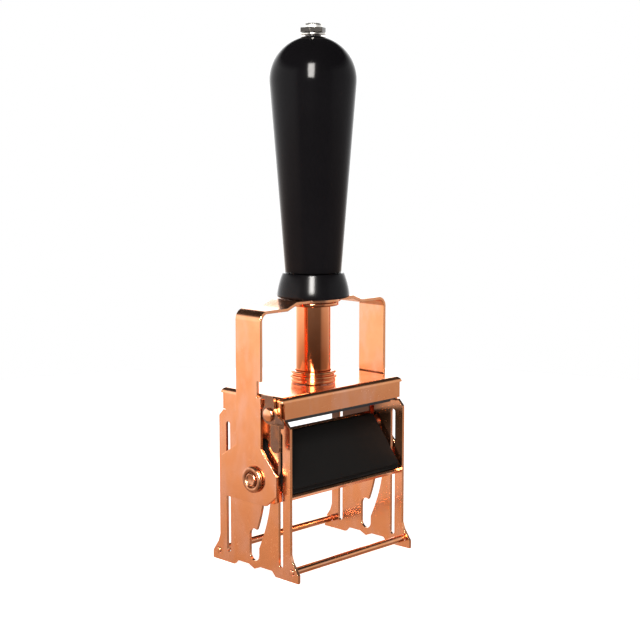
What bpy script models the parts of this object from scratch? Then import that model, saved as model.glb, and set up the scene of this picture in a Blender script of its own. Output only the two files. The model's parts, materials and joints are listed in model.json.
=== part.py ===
"""Self-inking hand stamp with a copper-plated frame, at rest with the handle locked part way down.

Origin: middle of the footprint, on the surface it stands on. X runs along the printing line,
-Y is the front that the die turns past, +Z is up. Metres throughout.
"""

from math import acos, asin, atan2, cos, hypot, pi, radians, sin, sqrt

import bmesh
import bpy
from mathutils import Matrix

mm = 0.001

# Fits
CLEARANCE = 0.3 * mm            # between pieces that touch or run on each other
OVERCUT = 3.0 * mm              # how far a cutter runs past the faces it cuts
FACE_BAND = 0.1 * mm            # edges this near a face count as that face's edges
STEP_IN = 0.1 * mm              # keeps joined shapes' faces from lying in one plane
SHEET_STEP = 0.02 * mm          # the same, between sheets that are joined flat

# Side plates
PLATE_SPAN = 65.6 * mm          # outer face to outer face
PLATE_SHEET = 1.2 * mm
COLUMN_DEPTH = 40.4 * mm        # front to back, above the feet
FOOT_DEPTH = 49.0 * mm
FOOT_HEIGHT = 3.3 * mm
FOOT_FLARE = 7.3 * mm           # height over which the foot narrows to the column
FOOT_LENGTH = 12.5 * mm         # of each foot, front to back
ARCH_HEIGHT = 2.0 * mm
TOOTH_HALF = 3.4 * mm           # the centring tooth in the middle of the arch
SHOULDER_DROP = 11.7 * mm       # bridge top down to where the column's corner is cut
CORNER_CUT = 2.6 * mm
ARCH_SAG = 0.6 * mm             # foot of the centring tooth above the surface
GUIDE_SLOT_WIDTH = 2.4 * mm     # the narrow straight slots that the lugs' tabs run in
GUIDE_SLOT_FOOT = 4.2 * mm      # height of the slots' lower ends
GUIDE_SLOT_TOP_GAP = 13.6 * mm  # bridge top down to the slots' upper ends
FOOT_SLOT_WIDTH = 5.5 * mm      # the wide straight run at the bottom of the cam slot
FOOT_SLOT_BASE = 3.9 * mm
FOOT_SLOT_TOP = 17.0 * mm
SIGHT_SLOT_WIDTH = 2.8 * mm     # narrow run above the cam slot

# Base rods
ROD_RADIUS = 1.5 * mm
ROD_SPIGOT = 1.1 * mm
ROD_INSET = 3.5 * mm            # foot's end to the rod
ROD_Z = 3.9 * mm

# Bridge over the plates
BRIDGE_TOP = 71.2 * mm
BRIDGE_DEPTH = 35.2 * mm
BRIDGE_SHEET = 1.0 * mm
FLANGE_HEIGHT = 8.4 * mm
BRIDGE_BEND = 2.0 * mm
BRIDGE_NOTCH = 1.3 * mm         # open corner between two flanges
RIVET_RADIUS = 1.0 * mm
PAD_RIVET_Y = 4.5 * mm
PAD_RIVET_DROP = 7.8 * mm       # bridge top down to the pad rivets (they pass the tray's end)

# Ink pad and its tray
FASTENER_SPACE = 3.3 * mm       # room above the tray for the stud's nut and washer
TRAY_HEIGHT = 5.0 * mm
TRAY_SHEET = 0.8 * mm
PAD_PROUD = 1.4 * mm

# Guide tube, its foot and its collar
TUBE_RADIUS = 7.0 * mm
TUBE_WALL = 1.0 * mm
TUBE_ENGAGEMENT = 17.0 * mm     # left inside the sleeve with the handle right up
COLLAR_WALL = 2.1 * mm
COLLAR_HEIGHT = 4.7 * mm
PLUG_HEIGHT = 4.9 * mm
STUD_RADIUS = 3.0 * mm
NUT_HEIGHT = 1.5 * mm
NUT_RADIUS = 5.2 * mm
WASHER_SHEET = 0.8 * mm
WASHER_RADIUS = 6.2 * mm

# Die carriage, measured from its pivot with the die facing up
PIVOT_Y = -3.0 * mm
DIE_STANDOFF = 12.0 * mm        # pivot to printing face
REST_TURN = radians(52)         # how far the die has turned from facing up
FULL_TURN = radians(180)
DIE_WIDTH = 24.6 * mm
CUSHION_WIDTH = 26.0 * mm
DIE_SHEET = 1.8 * mm
CUSHION_SHEET = 2.1 * mm
CARRIAGE_SHEET = 1.0 * mm
LIP_HEIGHT = 2.0 * mm
GLUE_LINE = 0.2 * mm            # between the cushion and the rubber die
DIE_ROUND = 0.5 * mm
EAR_SHEET = 1.1 * mm
CRANK_RADIUS = 4.8 * mm         # pivot to crank pin
CRANK_SHEET = 1.0 * mm
CRANK_HUB = 4.2 * mm
CRANK_EYE = 3.2 * mm
PIN_RADIUS = 1.5 * mm
PIN_HEAD = 2.4 * mm
PIN_HEAD_HEIGHT = 0.9 * mm
CAM_PLAY = 0.6 * mm             # cam slot beyond the crank pin, all round

# Yoke
STRAP_SHEET = 1.2 * mm
STRAP_WIDTH = 14.0 * mm
STRAP_BEND = 4.0 * mm
BOSS_RISE = 2.0 * mm            # raised middle of the strap, under the ferrule
BOSS_HALF = 16.0 * mm
BOSS_RAMP = 5.0 * mm
BOSS_EYE_WALL = 2.4 * mm        # left round the sleeve's hole, where the strap widens to a disc
PRESS_GAP = 0.8 * mm            # left above the collar when the handle is right down
LUG_DEPTH = 31.2 * mm           # front to back of the wide plate at the foot of each leg
LUG_BELOW = 9.6 * mm            # pivot down to the lug's lower edge
LUG_CHAMFER_FRONT = 6.0 * mm
LUG_SHOULDER_FRONT = 3.0 * mm   # pivot up to where the front shoulder starts
LUG_SHOULDER_REAR = 6.7 * mm
LUG_NECK = 12.3 * mm            # pivot up to where the lug has narrowed to the strap
TAB_SHEET = 1.2 * mm
TAB_BELOW = 7.4 * mm            # pivot down to the guide tab's lower end
TAB_HEIGHT = 6.4 * mm
NOTCH_DEPTH = 2.0 * mm
NOTCH_BASE = 1.0 * mm           # bridge top down to the notch's lower edge
NOTCH_HEIGHT = 6.2 * mm
SCREW_SHANK = 1.8 * mm
SCREW_HEAD = 2.7 * mm
SCREW_HEAD_HEIGHT = 1.0 * mm
SCREW_DISH = 0.6 * mm           # depth of the hollow in the screw's head
SCREW_WASHER = 5.2 * mm         # cup washer that the head sits down in
SCREW_WASHER_SHEET = 0.5 * mm
SCREW_WASHER_HEIGHT = 1.5 * mm

# Handle
EDGE_BREAK = 0.4 * mm           # small chamfer on the ferrule's and the grip's edges
SLEEVE_WALL = 1.0 * mm
SLEEVE_FLANGE = 10.2 * mm
SLEEVE_FLANGE_SHEET = 1.4 * mm
SLEEVE_TOP_SHEET = 3.0 * mm
SLEEVE_SPARE = 5.8 * mm         # left above the tube when the handle is right down
FERRULE_HEIGHT = 9.8 * mm
FERRULE_FOOT = 14.6 * mm
FERRULE_HEAD = 12.3 * mm
GRIP_LENGTH = 92.1 * mm
GRIP_FOOT = 11.3 * mm
BALL_RADIUS = 17.25 * mm
TIE_ROD_RADIUS = 3.0 * mm
ROD_NUT_HEIGHT = 2.5 * mm
ROD_NUT_SEAT = 0.6 * mm         # nut's corners beyond the spring's coil, which bears on it
CAP_WASHER_SHEET = 0.9 * mm
CAP_WASHER_RADIUS = 5.2 * mm
CAP_HEX_HEIGHT = 1.8 * mm
CAP_DOME_HEIGHT = 1.7 * mm
CAP_RADIUS = 5.1 * mm
CAP_DOME_RADIUS = 3.7 * mm

# Return spring
SPRING_ROOM = 0.9 * mm          # spring to the guide tube's bore
SPRING_WIRE = 0.5 * mm
SPRING_TURNS = 14
SPRING_CLOSED = 0.04            # share of its length that each closed end takes

# Lock lever, on the front rivet of the left plate
LOCK_GAP = 0.7 * mm             # strap's front edge to the lever's boss
LOCK_DROP = 6.7 * mm            # bridge top down to its rivet
LOCK_SHEET = 1.0 * mm
LOCK_BOSS = 3.8 * mm
LOCK_RIVET = 1.3 * mm
LOCK_RIVET_HEAD = 2.6 * mm
RIVET_HEAD_HEIGHT = 1.1 * mm
LOCK_HOOK_RISE = 5.7 * mm
LOCK_HOOK_DEPTH = 1.5 * mm
LOCK_TAB_DROP = 11.7 * mm
LOCK_TAB_FORWARD = 4.9 * mm
LOCK_TAB_WIDTH = 4.6 * mm
LOCK_JOG = 1.6 * mm             # how far the finger tab stands out from the hook's plane
LOCK_JOG_DROP = 2.6 * mm        # arm's upper edge down to the jog
LOCK_BEND = 1.4 * mm            # height of the jog between the arm and the finger tab
LOCK_HOOK_REACH = 1.8 * mm      # how far the hook's tip stands past its neck

# Layers outwards from the middle, along X
plate_outer = PLATE_SPAN / 2
plate_inner = plate_outer - PLATE_SHEET
cover_inner = plate_outer + CLEARANCE
cover_outer = cover_inner + BRIDGE_SHEET
crank_outer = cover_inner + CRANK_SHEET
strap_inner = max(cover_outer, crank_outer) + CLEARANCE
strap_outer = strap_inner + STRAP_SHEET
lock_outer = strap_inner + LOCK_SHEET
washer_inner = strap_outer + CLEARANCE
head_inner = washer_inner + SCREW_WASHER_SHEET + CLEARANCE
ear_outer = plate_inner - CLEARANCE
ear_inner = ear_outer - EAR_SHEET
cushion_half = ear_outer
pin_head_outer = ear_inner - CLEARANCE

# Heights, from the base up
flange_foot = BRIDGE_TOP - FLANGE_HEIGHT
cover_under = BRIDGE_TOP - BRIDGE_SHEET
tray_top = cover_under - FASTENER_SPACE
tray_foot = tray_top - TRAY_HEIGHT
pad_face = tray_foot - PAD_PROUD
travel = pad_face - 2 * (DIE_STANDOFF + CLEARANCE)
stroke_down = travel * (FULL_TURN - REST_TURN) / FULL_TURN
stroke_up = travel - stroke_down
pivot_z = DIE_STANDOFF + CLEARANCE + stroke_down
tube_foot = BRIDGE_TOP + CLEARANCE
collar_top = tube_foot + COLLAR_HEIGHT
sleeve_foot = collar_top + PRESS_GAP + stroke_down
sleeve_seat = sleeve_foot + SLEEVE_FLANGE_SHEET
boss_under = sleeve_seat + CLEARANCE
boss_top = boss_under + STRAP_SHEET
strap_top = boss_top - BOSS_RISE
ferrule_foot = boss_top + CLEARANCE
ferrule_top = ferrule_foot + FERRULE_HEIGHT
grip_foot = ferrule_top + CLEARANCE
grip_top = grip_foot + GRIP_LENGTH
tube_top = sleeve_foot + stroke_up + TUBE_ENGAGEMENT
rod_nut_foot = tube_top + stroke_down + SLEEVE_SPARE
sleeve_roof = rod_nut_foot + ROD_NUT_HEIGHT + CLEARANCE
sleeve_top = sleeve_roof + SLEEVE_TOP_SHEET
cap_washer_foot = grip_top + CLEARANCE
cap_foot = cap_washer_foot + CAP_WASHER_SHEET + CLEARANCE
cap_top = cap_foot + CAP_HEX_HEIGHT + CAP_DOME_HEIGHT
lock_z = BRIDGE_TOP - LOCK_DROP
pad_rivet_z = BRIDGE_TOP - PAD_RIVET_DROP
sight_top = BRIDGE_TOP - GUIDE_SLOT_TOP_GAP + SIGHT_SLOT_WIDTH / 2

# Depths and bores
cover_half = BRIDGE_DEPTH / 2
cover_half_inner = cover_half - BRIDGE_SHEET
tray_half = cover_half_inner - CLEARANCE
tray_end = plate_inner - CLEARANCE - STEP_IN
sleeve_bore = TUBE_RADIUS + CLEARANCE
sleeve_radius = sleeve_bore + SLEEVE_WALL
grip_bore = sleeve_radius + CLEARANCE
strap_half = STRAP_WIDTH / 2
lug_half = LUG_DEPTH / 2
tab_outer = lug_half - CLEARANCE
tab_inner = tab_outer - TAB_SHEET
guide_slot_y = tab_inner - CLEARANCE + GUIDE_SLOT_WIDTH / 2
lock_y = -(strap_half + LOCK_GAP + LOCK_BOSS)
rod_y = FOOT_DEPTH / 2 - ROD_INSET
collar_bore = TUBE_RADIUS + CLEARANCE
spring_radius = TUBE_RADIUS - TUBE_WALL - SPRING_ROOM - SPRING_WIRE
rod_nut_radius = spring_radius + ROD_NUT_SEAT
pin_phase = asin(-PIVOT_Y / CRANK_RADIUS)    # puts the crank pin in the plates' middle at full press
pin_y = -CRANK_RADIUS * sin(pin_phase)
pin_z = CRANK_RADIUS * cos(pin_phase)


# ---------------------------------------------------------------- scene and materials

for old in list(bpy.data.objects):
    bpy.data.objects.remove(old, do_unlink=True)

parts = bpy.data.collections.new("hand_stamp")
cutters = bpy.data.collections.new("hand_stamp_cutters")
bpy.context.scene.collection.children.link(parts)
bpy.context.scene.collection.children.link(cutters)


def make_material(name, colour, metallic, roughness):
    material = bpy.data.materials.new(name)
    material.use_nodes = True
    shader = material.node_tree.nodes["Principled BSDF"]
    shader.inputs["Base Color"].default_value = (*colour, 1)
    shader.inputs["Metallic"].default_value = metallic
    shader.inputs["Roughness"].default_value = roughness
    return material


copper = make_material("copper_plate", (0.78, 0.36, 0.20), 1.0, 0.25)
tube_copper = make_material("tube_copper", (0.70, 0.27, 0.14), 1.0, 0.12)
black_grip = make_material("black_grip", (0.012, 0.012, 0.013), 0.0, 0.22)
nickel = make_material("nickel", (0.72, 0.71, 0.68), 1.0, 0.2)
spring_steel = make_material("spring_steel", (0.45, 0.45, 0.46), 1.0, 0.3)
dark_lever = make_material("dark_lever", (0.20, 0.10, 0.06), 1.0, 0.35)
die_rubber = make_material("die_rubber", (0.012, 0.011, 0.011), 0.0, 0.7)
cushion_foam = make_material("cushion_foam", (0.02, 0.02, 0.02), 0.0, 0.9)
ink_felt = make_material("ink_felt", (0.03, 0.03, 0.035), 0.0, 0.95)
tray_plastic = make_material("tray_plastic", (0.05, 0.05, 0.05), 0.0, 0.5)


# ---------------------------------------------------------------- modelling helpers


def add_part(name, mesh, material, parent=None):
    part = bpy.data.objects.new(name, mesh)
    parts.objects.link(part)
    mesh.materials.clear()
    mesh.materials.append(material)
    part.parent = parent
    return part


def add_cutter(name, mesh, parent=None):
    cutter = bpy.data.objects.new(name, mesh)
    cutters.objects.link(cutter)
    cutter.hide_render = True
    cutter.display_type = "WIRE"
    cutter.parent = parent
    return cutter


def add_axis(name, location, turn=0.0):
    """An empty on a joint's axis, which carries the pieces that move on it."""
    axis = bpy.data.objects.new(name, None)
    parts.objects.link(axis)
    axis.location = location
    axis.rotation_euler = (turn, 0, 0)
    return axis


def boolean(part, operation, cutter):
    modifier = part.modifiers.new(f"{operation}_{cutter.name}".lower(), "BOOLEAN")
    modifier.operation = operation
    modifier.object = cutter
    modifier.solver = "EXACT"


def box_mesh(name, low, high, round_edges=0.0, round_which=None, segments=3):
    """A box between two corners; round_which picks the edges to round from their middle point."""
    bm = bmesh.new()
    bmesh.ops.create_cube(bm, size=1)
    size = [high[i] - low[i] for i in range(3)]
    middle = [(high[i] + low[i]) / 2 for i in range(3)]
    place = Matrix.Translation(middle) @ Matrix.Diagonal((*size, 1))
    bmesh.ops.transform(bm, matrix=place, verts=bm.verts)
    if round_edges:
        chosen = [e for e in bm.edges if round_which((e.verts[0].co + e.verts[1].co) / 2)]
        bmesh.ops.bevel(
            bm, geom=chosen, offset=round_edges, affect="EDGES", segments=segments, profile=0.5, material=-1
        )
    mesh = bpy.data.meshes.new(name)
    bm.to_mesh(mesh)
    bm.free()
    return mesh


def rod_mesh(name, radius, low, high, sides=24, turn=0.0):
    """A prism or cylinder along Z from low to high."""
    bm = bmesh.new()
    bmesh.ops.create_cone(bm, cap_ends=True, segments=sides, radius1=radius, radius2=radius, depth=high - low)
    bmesh.ops.rotate(bm, matrix=Matrix.Rotation(turn, 3, "Z"), verts=bm.verts)
    bmesh.ops.translate(bm, vec=(0, 0, (low + high) / 2), verts=bm.verts)
    mesh = bpy.data.meshes.new(name)
    bm.to_mesh(mesh)
    bm.free()
    return mesh


def turned(name, profile, material, ring=False, steps=40, parent=None):
    """A turned piece about Z. The (radius, height) profile runs down its outer side."""
    bm = bmesh.new()
    points = [bm.verts.new((radius, 0, height)) for radius, height in profile]
    for first, second in zip(points, points[1:]):
        bm.edges.new((first, second))
    if ring:
        bm.edges.new((points[-1], points[0]))
    mesh = bpy.data.meshes.new(name)
    bm.to_mesh(mesh)
    bm.free()
    part = add_part(name, mesh, material, parent)
    screw = part.modifiers.new("turn", "SCREW")
    screw.axis = "Z"
    screw.angle = 2 * pi
    screw.steps = steps
    screw.render_steps = steps
    screw.use_merge_vertices = True
    screw.merge_threshold = 1e-6
    screw.use_smooth_shade = True
    return part


def ring_profile(bore, radius, low, high):
    return [(bore, high), (radius, high), (radius, low), (bore, low)]


def flat_mesh(name, outlines, thickness):
    """A sheet from closed outlines: the first is the edge and the others are its holes."""
    curve = bpy.data.curves.new(name, "CURVE")
    curve.dimensions = "2D"
    curve.fill_mode = "BOTH"
    curve.extrude = thickness / 2
    for outline in outlines:
        spline = curve.splines.new("POLY")
        spline.points.add(len(outline) - 1)
        for point, (across, up) in zip(spline.points, outline):
            point.co = (across, up, 0, 1)
        spline.use_cyclic_u = True
    guide = bpy.data.objects.new(name, curve)
    bpy.context.scene.collection.objects.link(guide)
    bpy.context.view_layer.update()
    graph = bpy.context.evaluated_depsgraph_get()
    mesh = bpy.data.meshes.new_from_object(guide.evaluated_get(graph))
    bpy.data.objects.remove(guide, do_unlink=True)
    bpy.data.curves.remove(curve)
    bm = bmesh.new()
    bm.from_mesh(mesh)
    bmesh.ops.remove_doubles(bm, verts=bm.verts, dist=1e-6)
    bmesh.ops.recalc_face_normals(bm, faces=bm.faces)
    bm.to_mesh(mesh)
    bm.free()
    mesh.name = name
    return mesh


def stand_up(part, x, y=0.0, z=0.0):
    """Turns a flat piece so that its outline's (across, up) lie along Y and Z, at x."""
    part.rotation_euler = (pi / 2, 0, pi / 2)
    part.location = (x, y, z)
    return part


def circle(centre, radius, sides=20):
    return [
        (centre[0] + radius * cos(2 * pi * i / sides), centre[1] + radius * sin(2 * pi * i / sides))
        for i in range(sides)
    ]


def hull(points):
    """Convex outline around points, anticlockwise."""
    points = sorted(set(points))

    def half(ordered):
        kept = []
        for p in ordered:
            while len(kept) > 1:
                (ax, ay), (bx, by) = kept[-2], kept[-1]
                if (bx - ax) * (p[1] - ay) - (by - ay) * (p[0] - ax) > 0:
                    break
                kept.pop()
            kept.append(p)
        return kept[:-1]

    return half(points) + half(points[::-1])


def slot_outline(centres, half_width, end_sides=8):
    """The outline of a slot that follows a line of centres, with round ends."""
    def normal(i):
        before, after = centres[max(i - 1, 0)], centres[min(i + 1, len(centres) - 1)]
        along = (after[0] - before[0], after[1] - before[1])
        length = hypot(*along)
        return (-along[1] / length, along[0] / length)

    left, right = [], []
    for i, (across, up) in enumerate(centres):
        side = normal(i)
        left.append((across + half_width * side[0], up + half_width * side[1]))
        right.append((across - half_width * side[0], up - half_width * side[1]))

    def cap(centre, start):
        angle = atan2(start[1] - centre[1], start[0] - centre[0])
        return [
            (centre[0] + half_width * cos(angle - pi * i / end_sides),
             centre[1] + half_width * sin(angle - pi * i / end_sides))
            for i in range(1, end_sides)
        ]

    return left + cap(centres[-1], left[-1]) + right[::-1] + cap(centres[0], right[0])


def along_x(part, side, y=0.0, z=0.0):
    """Points a piece turned about Z outwards, to the left (side -1) or the right (side 1)."""
    part.rotation_euler = (0, side * pi / 2, 0)
    part.location = (0, y, z)
    return part


# ---------------------------------------------------------------- frame


def crank_pin_at(turn):
    """The crank pin's place with the die turned this far from facing up."""
    height = pivot_z + (REST_TURN - turn) * travel / FULL_TURN
    angle = turn + pin_phase
    return PIVOT_Y - CRANK_RADIUS * sin(angle), height + CRANK_RADIUS * cos(angle)


def plate_outline():
    column, foot = COLUMN_DEPTH / 2, FOOT_DEPTH / 2
    neck = cover_half_inner - CLEARANCE
    shoulder = BRIDGE_TOP - SHOULDER_DROP
    cut = min(CORNER_CUT, column - neck)
    half = [
        (0, ARCH_SAG),
        (TOOTH_HALF, ARCH_HEIGHT),
        (foot - FOOT_LENGTH - ARCH_HEIGHT, ARCH_HEIGHT),
        (foot - FOOT_LENGTH, 0),
        (foot, 0),
        (foot, FOOT_HEIGHT),
        (column + 0.25 * (foot - column), FOOT_HEIGHT + 0.6 * FOOT_FLARE),
        (column, FOOT_HEIGHT + FOOT_FLARE),
        (column, shoulder),
        (column - cut, shoulder + cut),
        (neck, shoulder + cut),
        (neck, cover_under - CLEARANCE),
    ]
    return half + [(-across, up) for across, up in half[:0:-1]]


def guide_slot(y):
    low = GUIDE_SLOT_FOOT + GUIDE_SLOT_WIDTH / 2
    high = BRIDGE_TOP - GUIDE_SLOT_TOP_GAP - GUIDE_SLOT_WIDTH / 2
    return slot_outline([(y, low), (y, high)], GUIDE_SLOT_WIDTH / 2)


def make_side_plates():
    holes = [
        guide_slot(guide_slot_y),
        guide_slot(-guide_slot_y),
        circle((rod_y, ROD_Z), ROD_SPIGOT + CLEARANCE, 16),
        circle((-rod_y, ROD_Z), ROD_SPIGOT + CLEARANCE, 16),
        circle((lock_y, lock_z), LOCK_RIVET + CLEARANCE, 16),
        circle((PAD_RIVET_Y, pad_rivet_z), RIVET_RADIUS + CLEARANCE, 16),
    ]
    cam_steps = 24
    cam = slot_outline(
        [crank_pin_at(FULL_TURN * (1 - i / cam_steps)) for i in range(cam_steps + 1)], PIN_RADIUS + CAM_PLAY
    )
    foot_half = FOOT_SLOT_WIDTH / 2
    foot_slot = slot_outline([(0, FOOT_SLOT_BASE + foot_half), (0, FOOT_SLOT_TOP - foot_half)], foot_half)
    sight_low = crank_pin_at(0)[1] - PIN_RADIUS
    sight_slot = slot_outline([(PIVOT_Y, sight_low), (PIVOT_Y, sight_top)], SIGHT_SLOT_WIDTH / 2)
    for side, name in ((-1, "side_plate_left"), (1, "side_plate_right")):
        middle = side * (plate_outer + plate_inner) / 2
        plate = add_part(name, flat_mesh(name, [plate_outline(), *holes], PLATE_SHEET), copper)
        stand_up(plate, middle)
        for label, outline in (("cam", cam), ("foot_slot", foot_slot), ("sight", sight_slot)):
            cutter_name = f"{name}_{label}"
            cutter = add_cutter(cutter_name, flat_mesh(cutter_name, [outline], 3 * PLATE_SHEET))
            boolean(plate, "DIFFERENCE", stand_up(cutter, middle))


def make_base_rods():
    for name, y in (("base_rod_front", -rod_y), ("base_rod_rear", rod_y)):
        shoulder = plate_inner - CLEARANCE
        end = plate_outer + CLEARANCE
        profile = [
            (0, end), (ROD_SPIGOT, end), (ROD_SPIGOT, shoulder), (ROD_RADIUS, shoulder),
            (ROD_RADIUS, -shoulder), (ROD_SPIGOT, -shoulder), (ROD_SPIGOT, -end), (0, -end),
        ]
        along_x(turned(name, profile, copper, steps=20), 1, y, ROD_Z)


def make_bridge_cover():
    low = (-cover_outer, -cover_half, flange_foot)
    high = (cover_outer, cover_half, BRIDGE_TOP)
    folded = box_mesh("bridge_cover", low, high, BRIDGE_BEND, lambda m: m.z > BRIDGE_TOP - FACE_BAND, 6)
    cover = add_part("bridge_cover", folded, copper)
    inside = box_mesh(
        "bridge_inside",
        (-cover_inner, -cover_half_inner, flange_foot - OVERCUT),
        (cover_inner, cover_half_inner, cover_under),
    )
    boolean(cover, "DIFFERENCE", add_cutter("bridge_inside", inside))
    for side, label in ((-1, "left"), (1, "right")):
        for end, where in ((-1, "front"), (1, "rear")):
            x = sorted((side * (cover_outer - BRIDGE_NOTCH), side * (cover_outer + OVERCUT)))
            y = sorted((end * (cover_half - BRIDGE_NOTCH), end * (cover_half + OVERCUT)))
            name = f"bridge_corner_{where}_{label}"
            high = (x[1], y[1], BRIDGE_TOP - BRIDGE_BEND - FACE_BAND)
            corner = box_mesh(name, (x[0], y[0], flange_foot - OVERCUT), high)
            boolean(cover, "DIFFERENCE", add_cutter(name, corner))
    low, high = cover_under - OVERCUT, BRIDGE_TOP + OVERCUT
    stud_hole = rod_mesh("bridge_stud_hole", STUD_RADIUS + CLEARANCE, low, high)
    boolean(cover, "DIFFERENCE", add_cutter("bridge_stud_hole", stud_hole))
    reach = cover_outer + OVERCUT
    for label, radius, y, z in (
        ("lock", LOCK_RIVET, lock_y, lock_z),
        ("pad", RIVET_RADIUS, PAD_RIVET_Y, pad_rivet_z),
    ):
        name = f"bridge_{label}_rivet_hole"
        drill = add_cutter(name, rod_mesh(name, radius + CLEARANCE, -reach, reach, 16))
        boolean(cover, "DIFFERENCE", along_x(drill, 1, y, z))


def make_rivets():
    """Rivets that hold the bridge, the plates and the pad tray together, two on each side."""
    inner_end = tray_end - TRAY_SHEET
    for side, label in ((-1, "left"), (1, "right")):
        flush = [(0, cover_outer), (RIVET_RADIUS, cover_outer), (RIVET_RADIUS, inner_end), (0, inner_end)]
        rivet = turned(f"pad_rivet_{label}", flush, copper, steps=20)
        along_x(rivet, side, PAD_RIVET_Y, pad_rivet_z)
        seat = (lock_outer if side < 0 else cover_outer) + CLEARANCE
        headed = [
            (0, seat + RIVET_HEAD_HEIGHT), (0.45 * LOCK_RIVET_HEAD, seat + 0.95 * RIVET_HEAD_HEIGHT),
            (0.8 * LOCK_RIVET_HEAD, seat + 0.73 * RIVET_HEAD_HEIGHT),
            (LOCK_RIVET_HEAD, seat + 0.27 * RIVET_HEAD_HEIGHT), (LOCK_RIVET_HEAD, seat),
            (LOCK_RIVET, seat), (LOCK_RIVET, inner_end), (0, inner_end),
        ]
        name = "lock_rivet" if side < 0 else "front_rivet_right"
        along_x(turned(name, headed, copper, steps=24), side, lock_y, lock_z)


def make_guide_tube():
    bore = TUBE_RADIUS - TUBE_WALL
    tube = ring_profile(bore, TUBE_RADIUS, tube_foot, tube_top)
    turned("guide_tube", tube, tube_copper, ring=True, steps=48)
    collar = [
        (collar_bore + wall * COLLAR_WALL, tube_foot + height * COLLAR_HEIGHT)
        for wall, height in (
            (0, 1), (0.15, 1), (0.64, 0.90), (0.64, 0.66), (0.28, 0.56),
            (0.28, 0.46), (1, 0.38), (1, 0.14), (0.69, 0), (0, 0),
        )
    ]
    turned("guide_collar", collar, tube_copper, ring=True, steps=48)
    plug = bore - CLEARANCE
    stud_end = tray_top + CLEARANCE
    stud = [
        (0, tube_foot + PLUG_HEIGHT), (plug, tube_foot + PLUG_HEIGHT), (plug, tube_foot),
        (STUD_RADIUS, tube_foot), (STUD_RADIUS, stud_end), (0, stud_end),
    ]
    turned("tube_stud", stud, spring_steel, steps=32)
    washer_top = cover_under - CLEARANCE
    washer_foot = washer_top - WASHER_SHEET
    hole = STUD_RADIUS + CLEARANCE
    washer = ring_profile(hole, WASHER_RADIUS, washer_foot, washer_top)
    turned("stud_washer", washer, nickel, ring=True, steps=32)
    nut_top = washer_foot - CLEARANCE
    nut = add_part("stud_nut", rod_mesh("stud_nut", NUT_RADIUS, nut_top - NUT_HEIGHT, nut_top, 6), nickel)
    drill = rod_mesh("stud_nut_hole", hole, nut_top - NUT_HEIGHT - OVERCUT, nut_top + OVERCUT)
    boolean(nut, "DIFFERENCE", add_cutter("stud_nut_hole", drill))


def make_ink_pad():
    block = box_mesh("pad_tray", (-tray_end, -tray_half, tray_foot), (tray_end, tray_half, tray_top))
    tray = add_part("pad_tray", block, tray_plastic)
    room_end, room_half = tray_end - TRAY_SHEET, tray_half - TRAY_SHEET
    room_top = tray_top - TRAY_SHEET
    room_low = (-room_end, -room_half, tray_foot - OVERCUT)
    room = box_mesh("tray_room", room_low, (room_end, room_half, room_top))
    boolean(tray, "DIFFERENCE", add_cutter("tray_room", room))
    reach = tray_end + OVERCUT
    for label, radius, y, z in (
        ("lock", LOCK_RIVET, lock_y, lock_z),
        ("pad", RIVET_RADIUS, PAD_RIVET_Y, pad_rivet_z),
    ):
        name = f"tray_{label}_rivet_hole"
        drill = add_cutter(name, rod_mesh(name, radius + CLEARANCE, -reach, reach, 16))
        boolean(tray, "DIFFERENCE", along_x(drill, 1, y, z))
    pad_end, pad_half = room_end - CLEARANCE, room_half - CLEARANCE
    pad = box_mesh("ink_pad", (-pad_end, -pad_half, pad_face), (pad_end, pad_half, room_top - CLEARANCE))
    add_part("ink_pad", pad, ink_felt)


def make_return_spring():
    low = tube_foot + PLUG_HEIGHT + SPRING_WIRE + CLEARANCE
    high = rod_nut_foot - SPRING_WIRE - CLEARANCE
    per_turn = 12
    count = SPRING_TURNS * per_turn
    curve = bpy.data.curves.new("return_spring", "CURVE")
    curve.dimensions = "3D"
    curve.bevel_depth = SPRING_WIRE
    curve.bevel_resolution = 1
    curve.use_fill_caps = True
    spline = curve.splines.new("POLY")
    spline.points.add(count)
    for i, point in enumerate(spline.points):
        angle = 2 * pi * i / per_turn
        # the first and last turns lie nearly flat, as a closed coil's ends do
        share = min(max((i / count - SPRING_CLOSED) / (1 - 2 * SPRING_CLOSED), 0), 1)
        rise = 0.985 * share + 0.015 * i / count
        point.co = (spring_radius * cos(angle), spring_radius * sin(angle), low + (high - low) * rise, 1)
    spring = bpy.data.objects.new("return_spring", curve)
    parts.objects.link(spring)
    curve.materials.append(spring_steel)


# ---------------------------------------------------------------- yoke and handle


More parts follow.
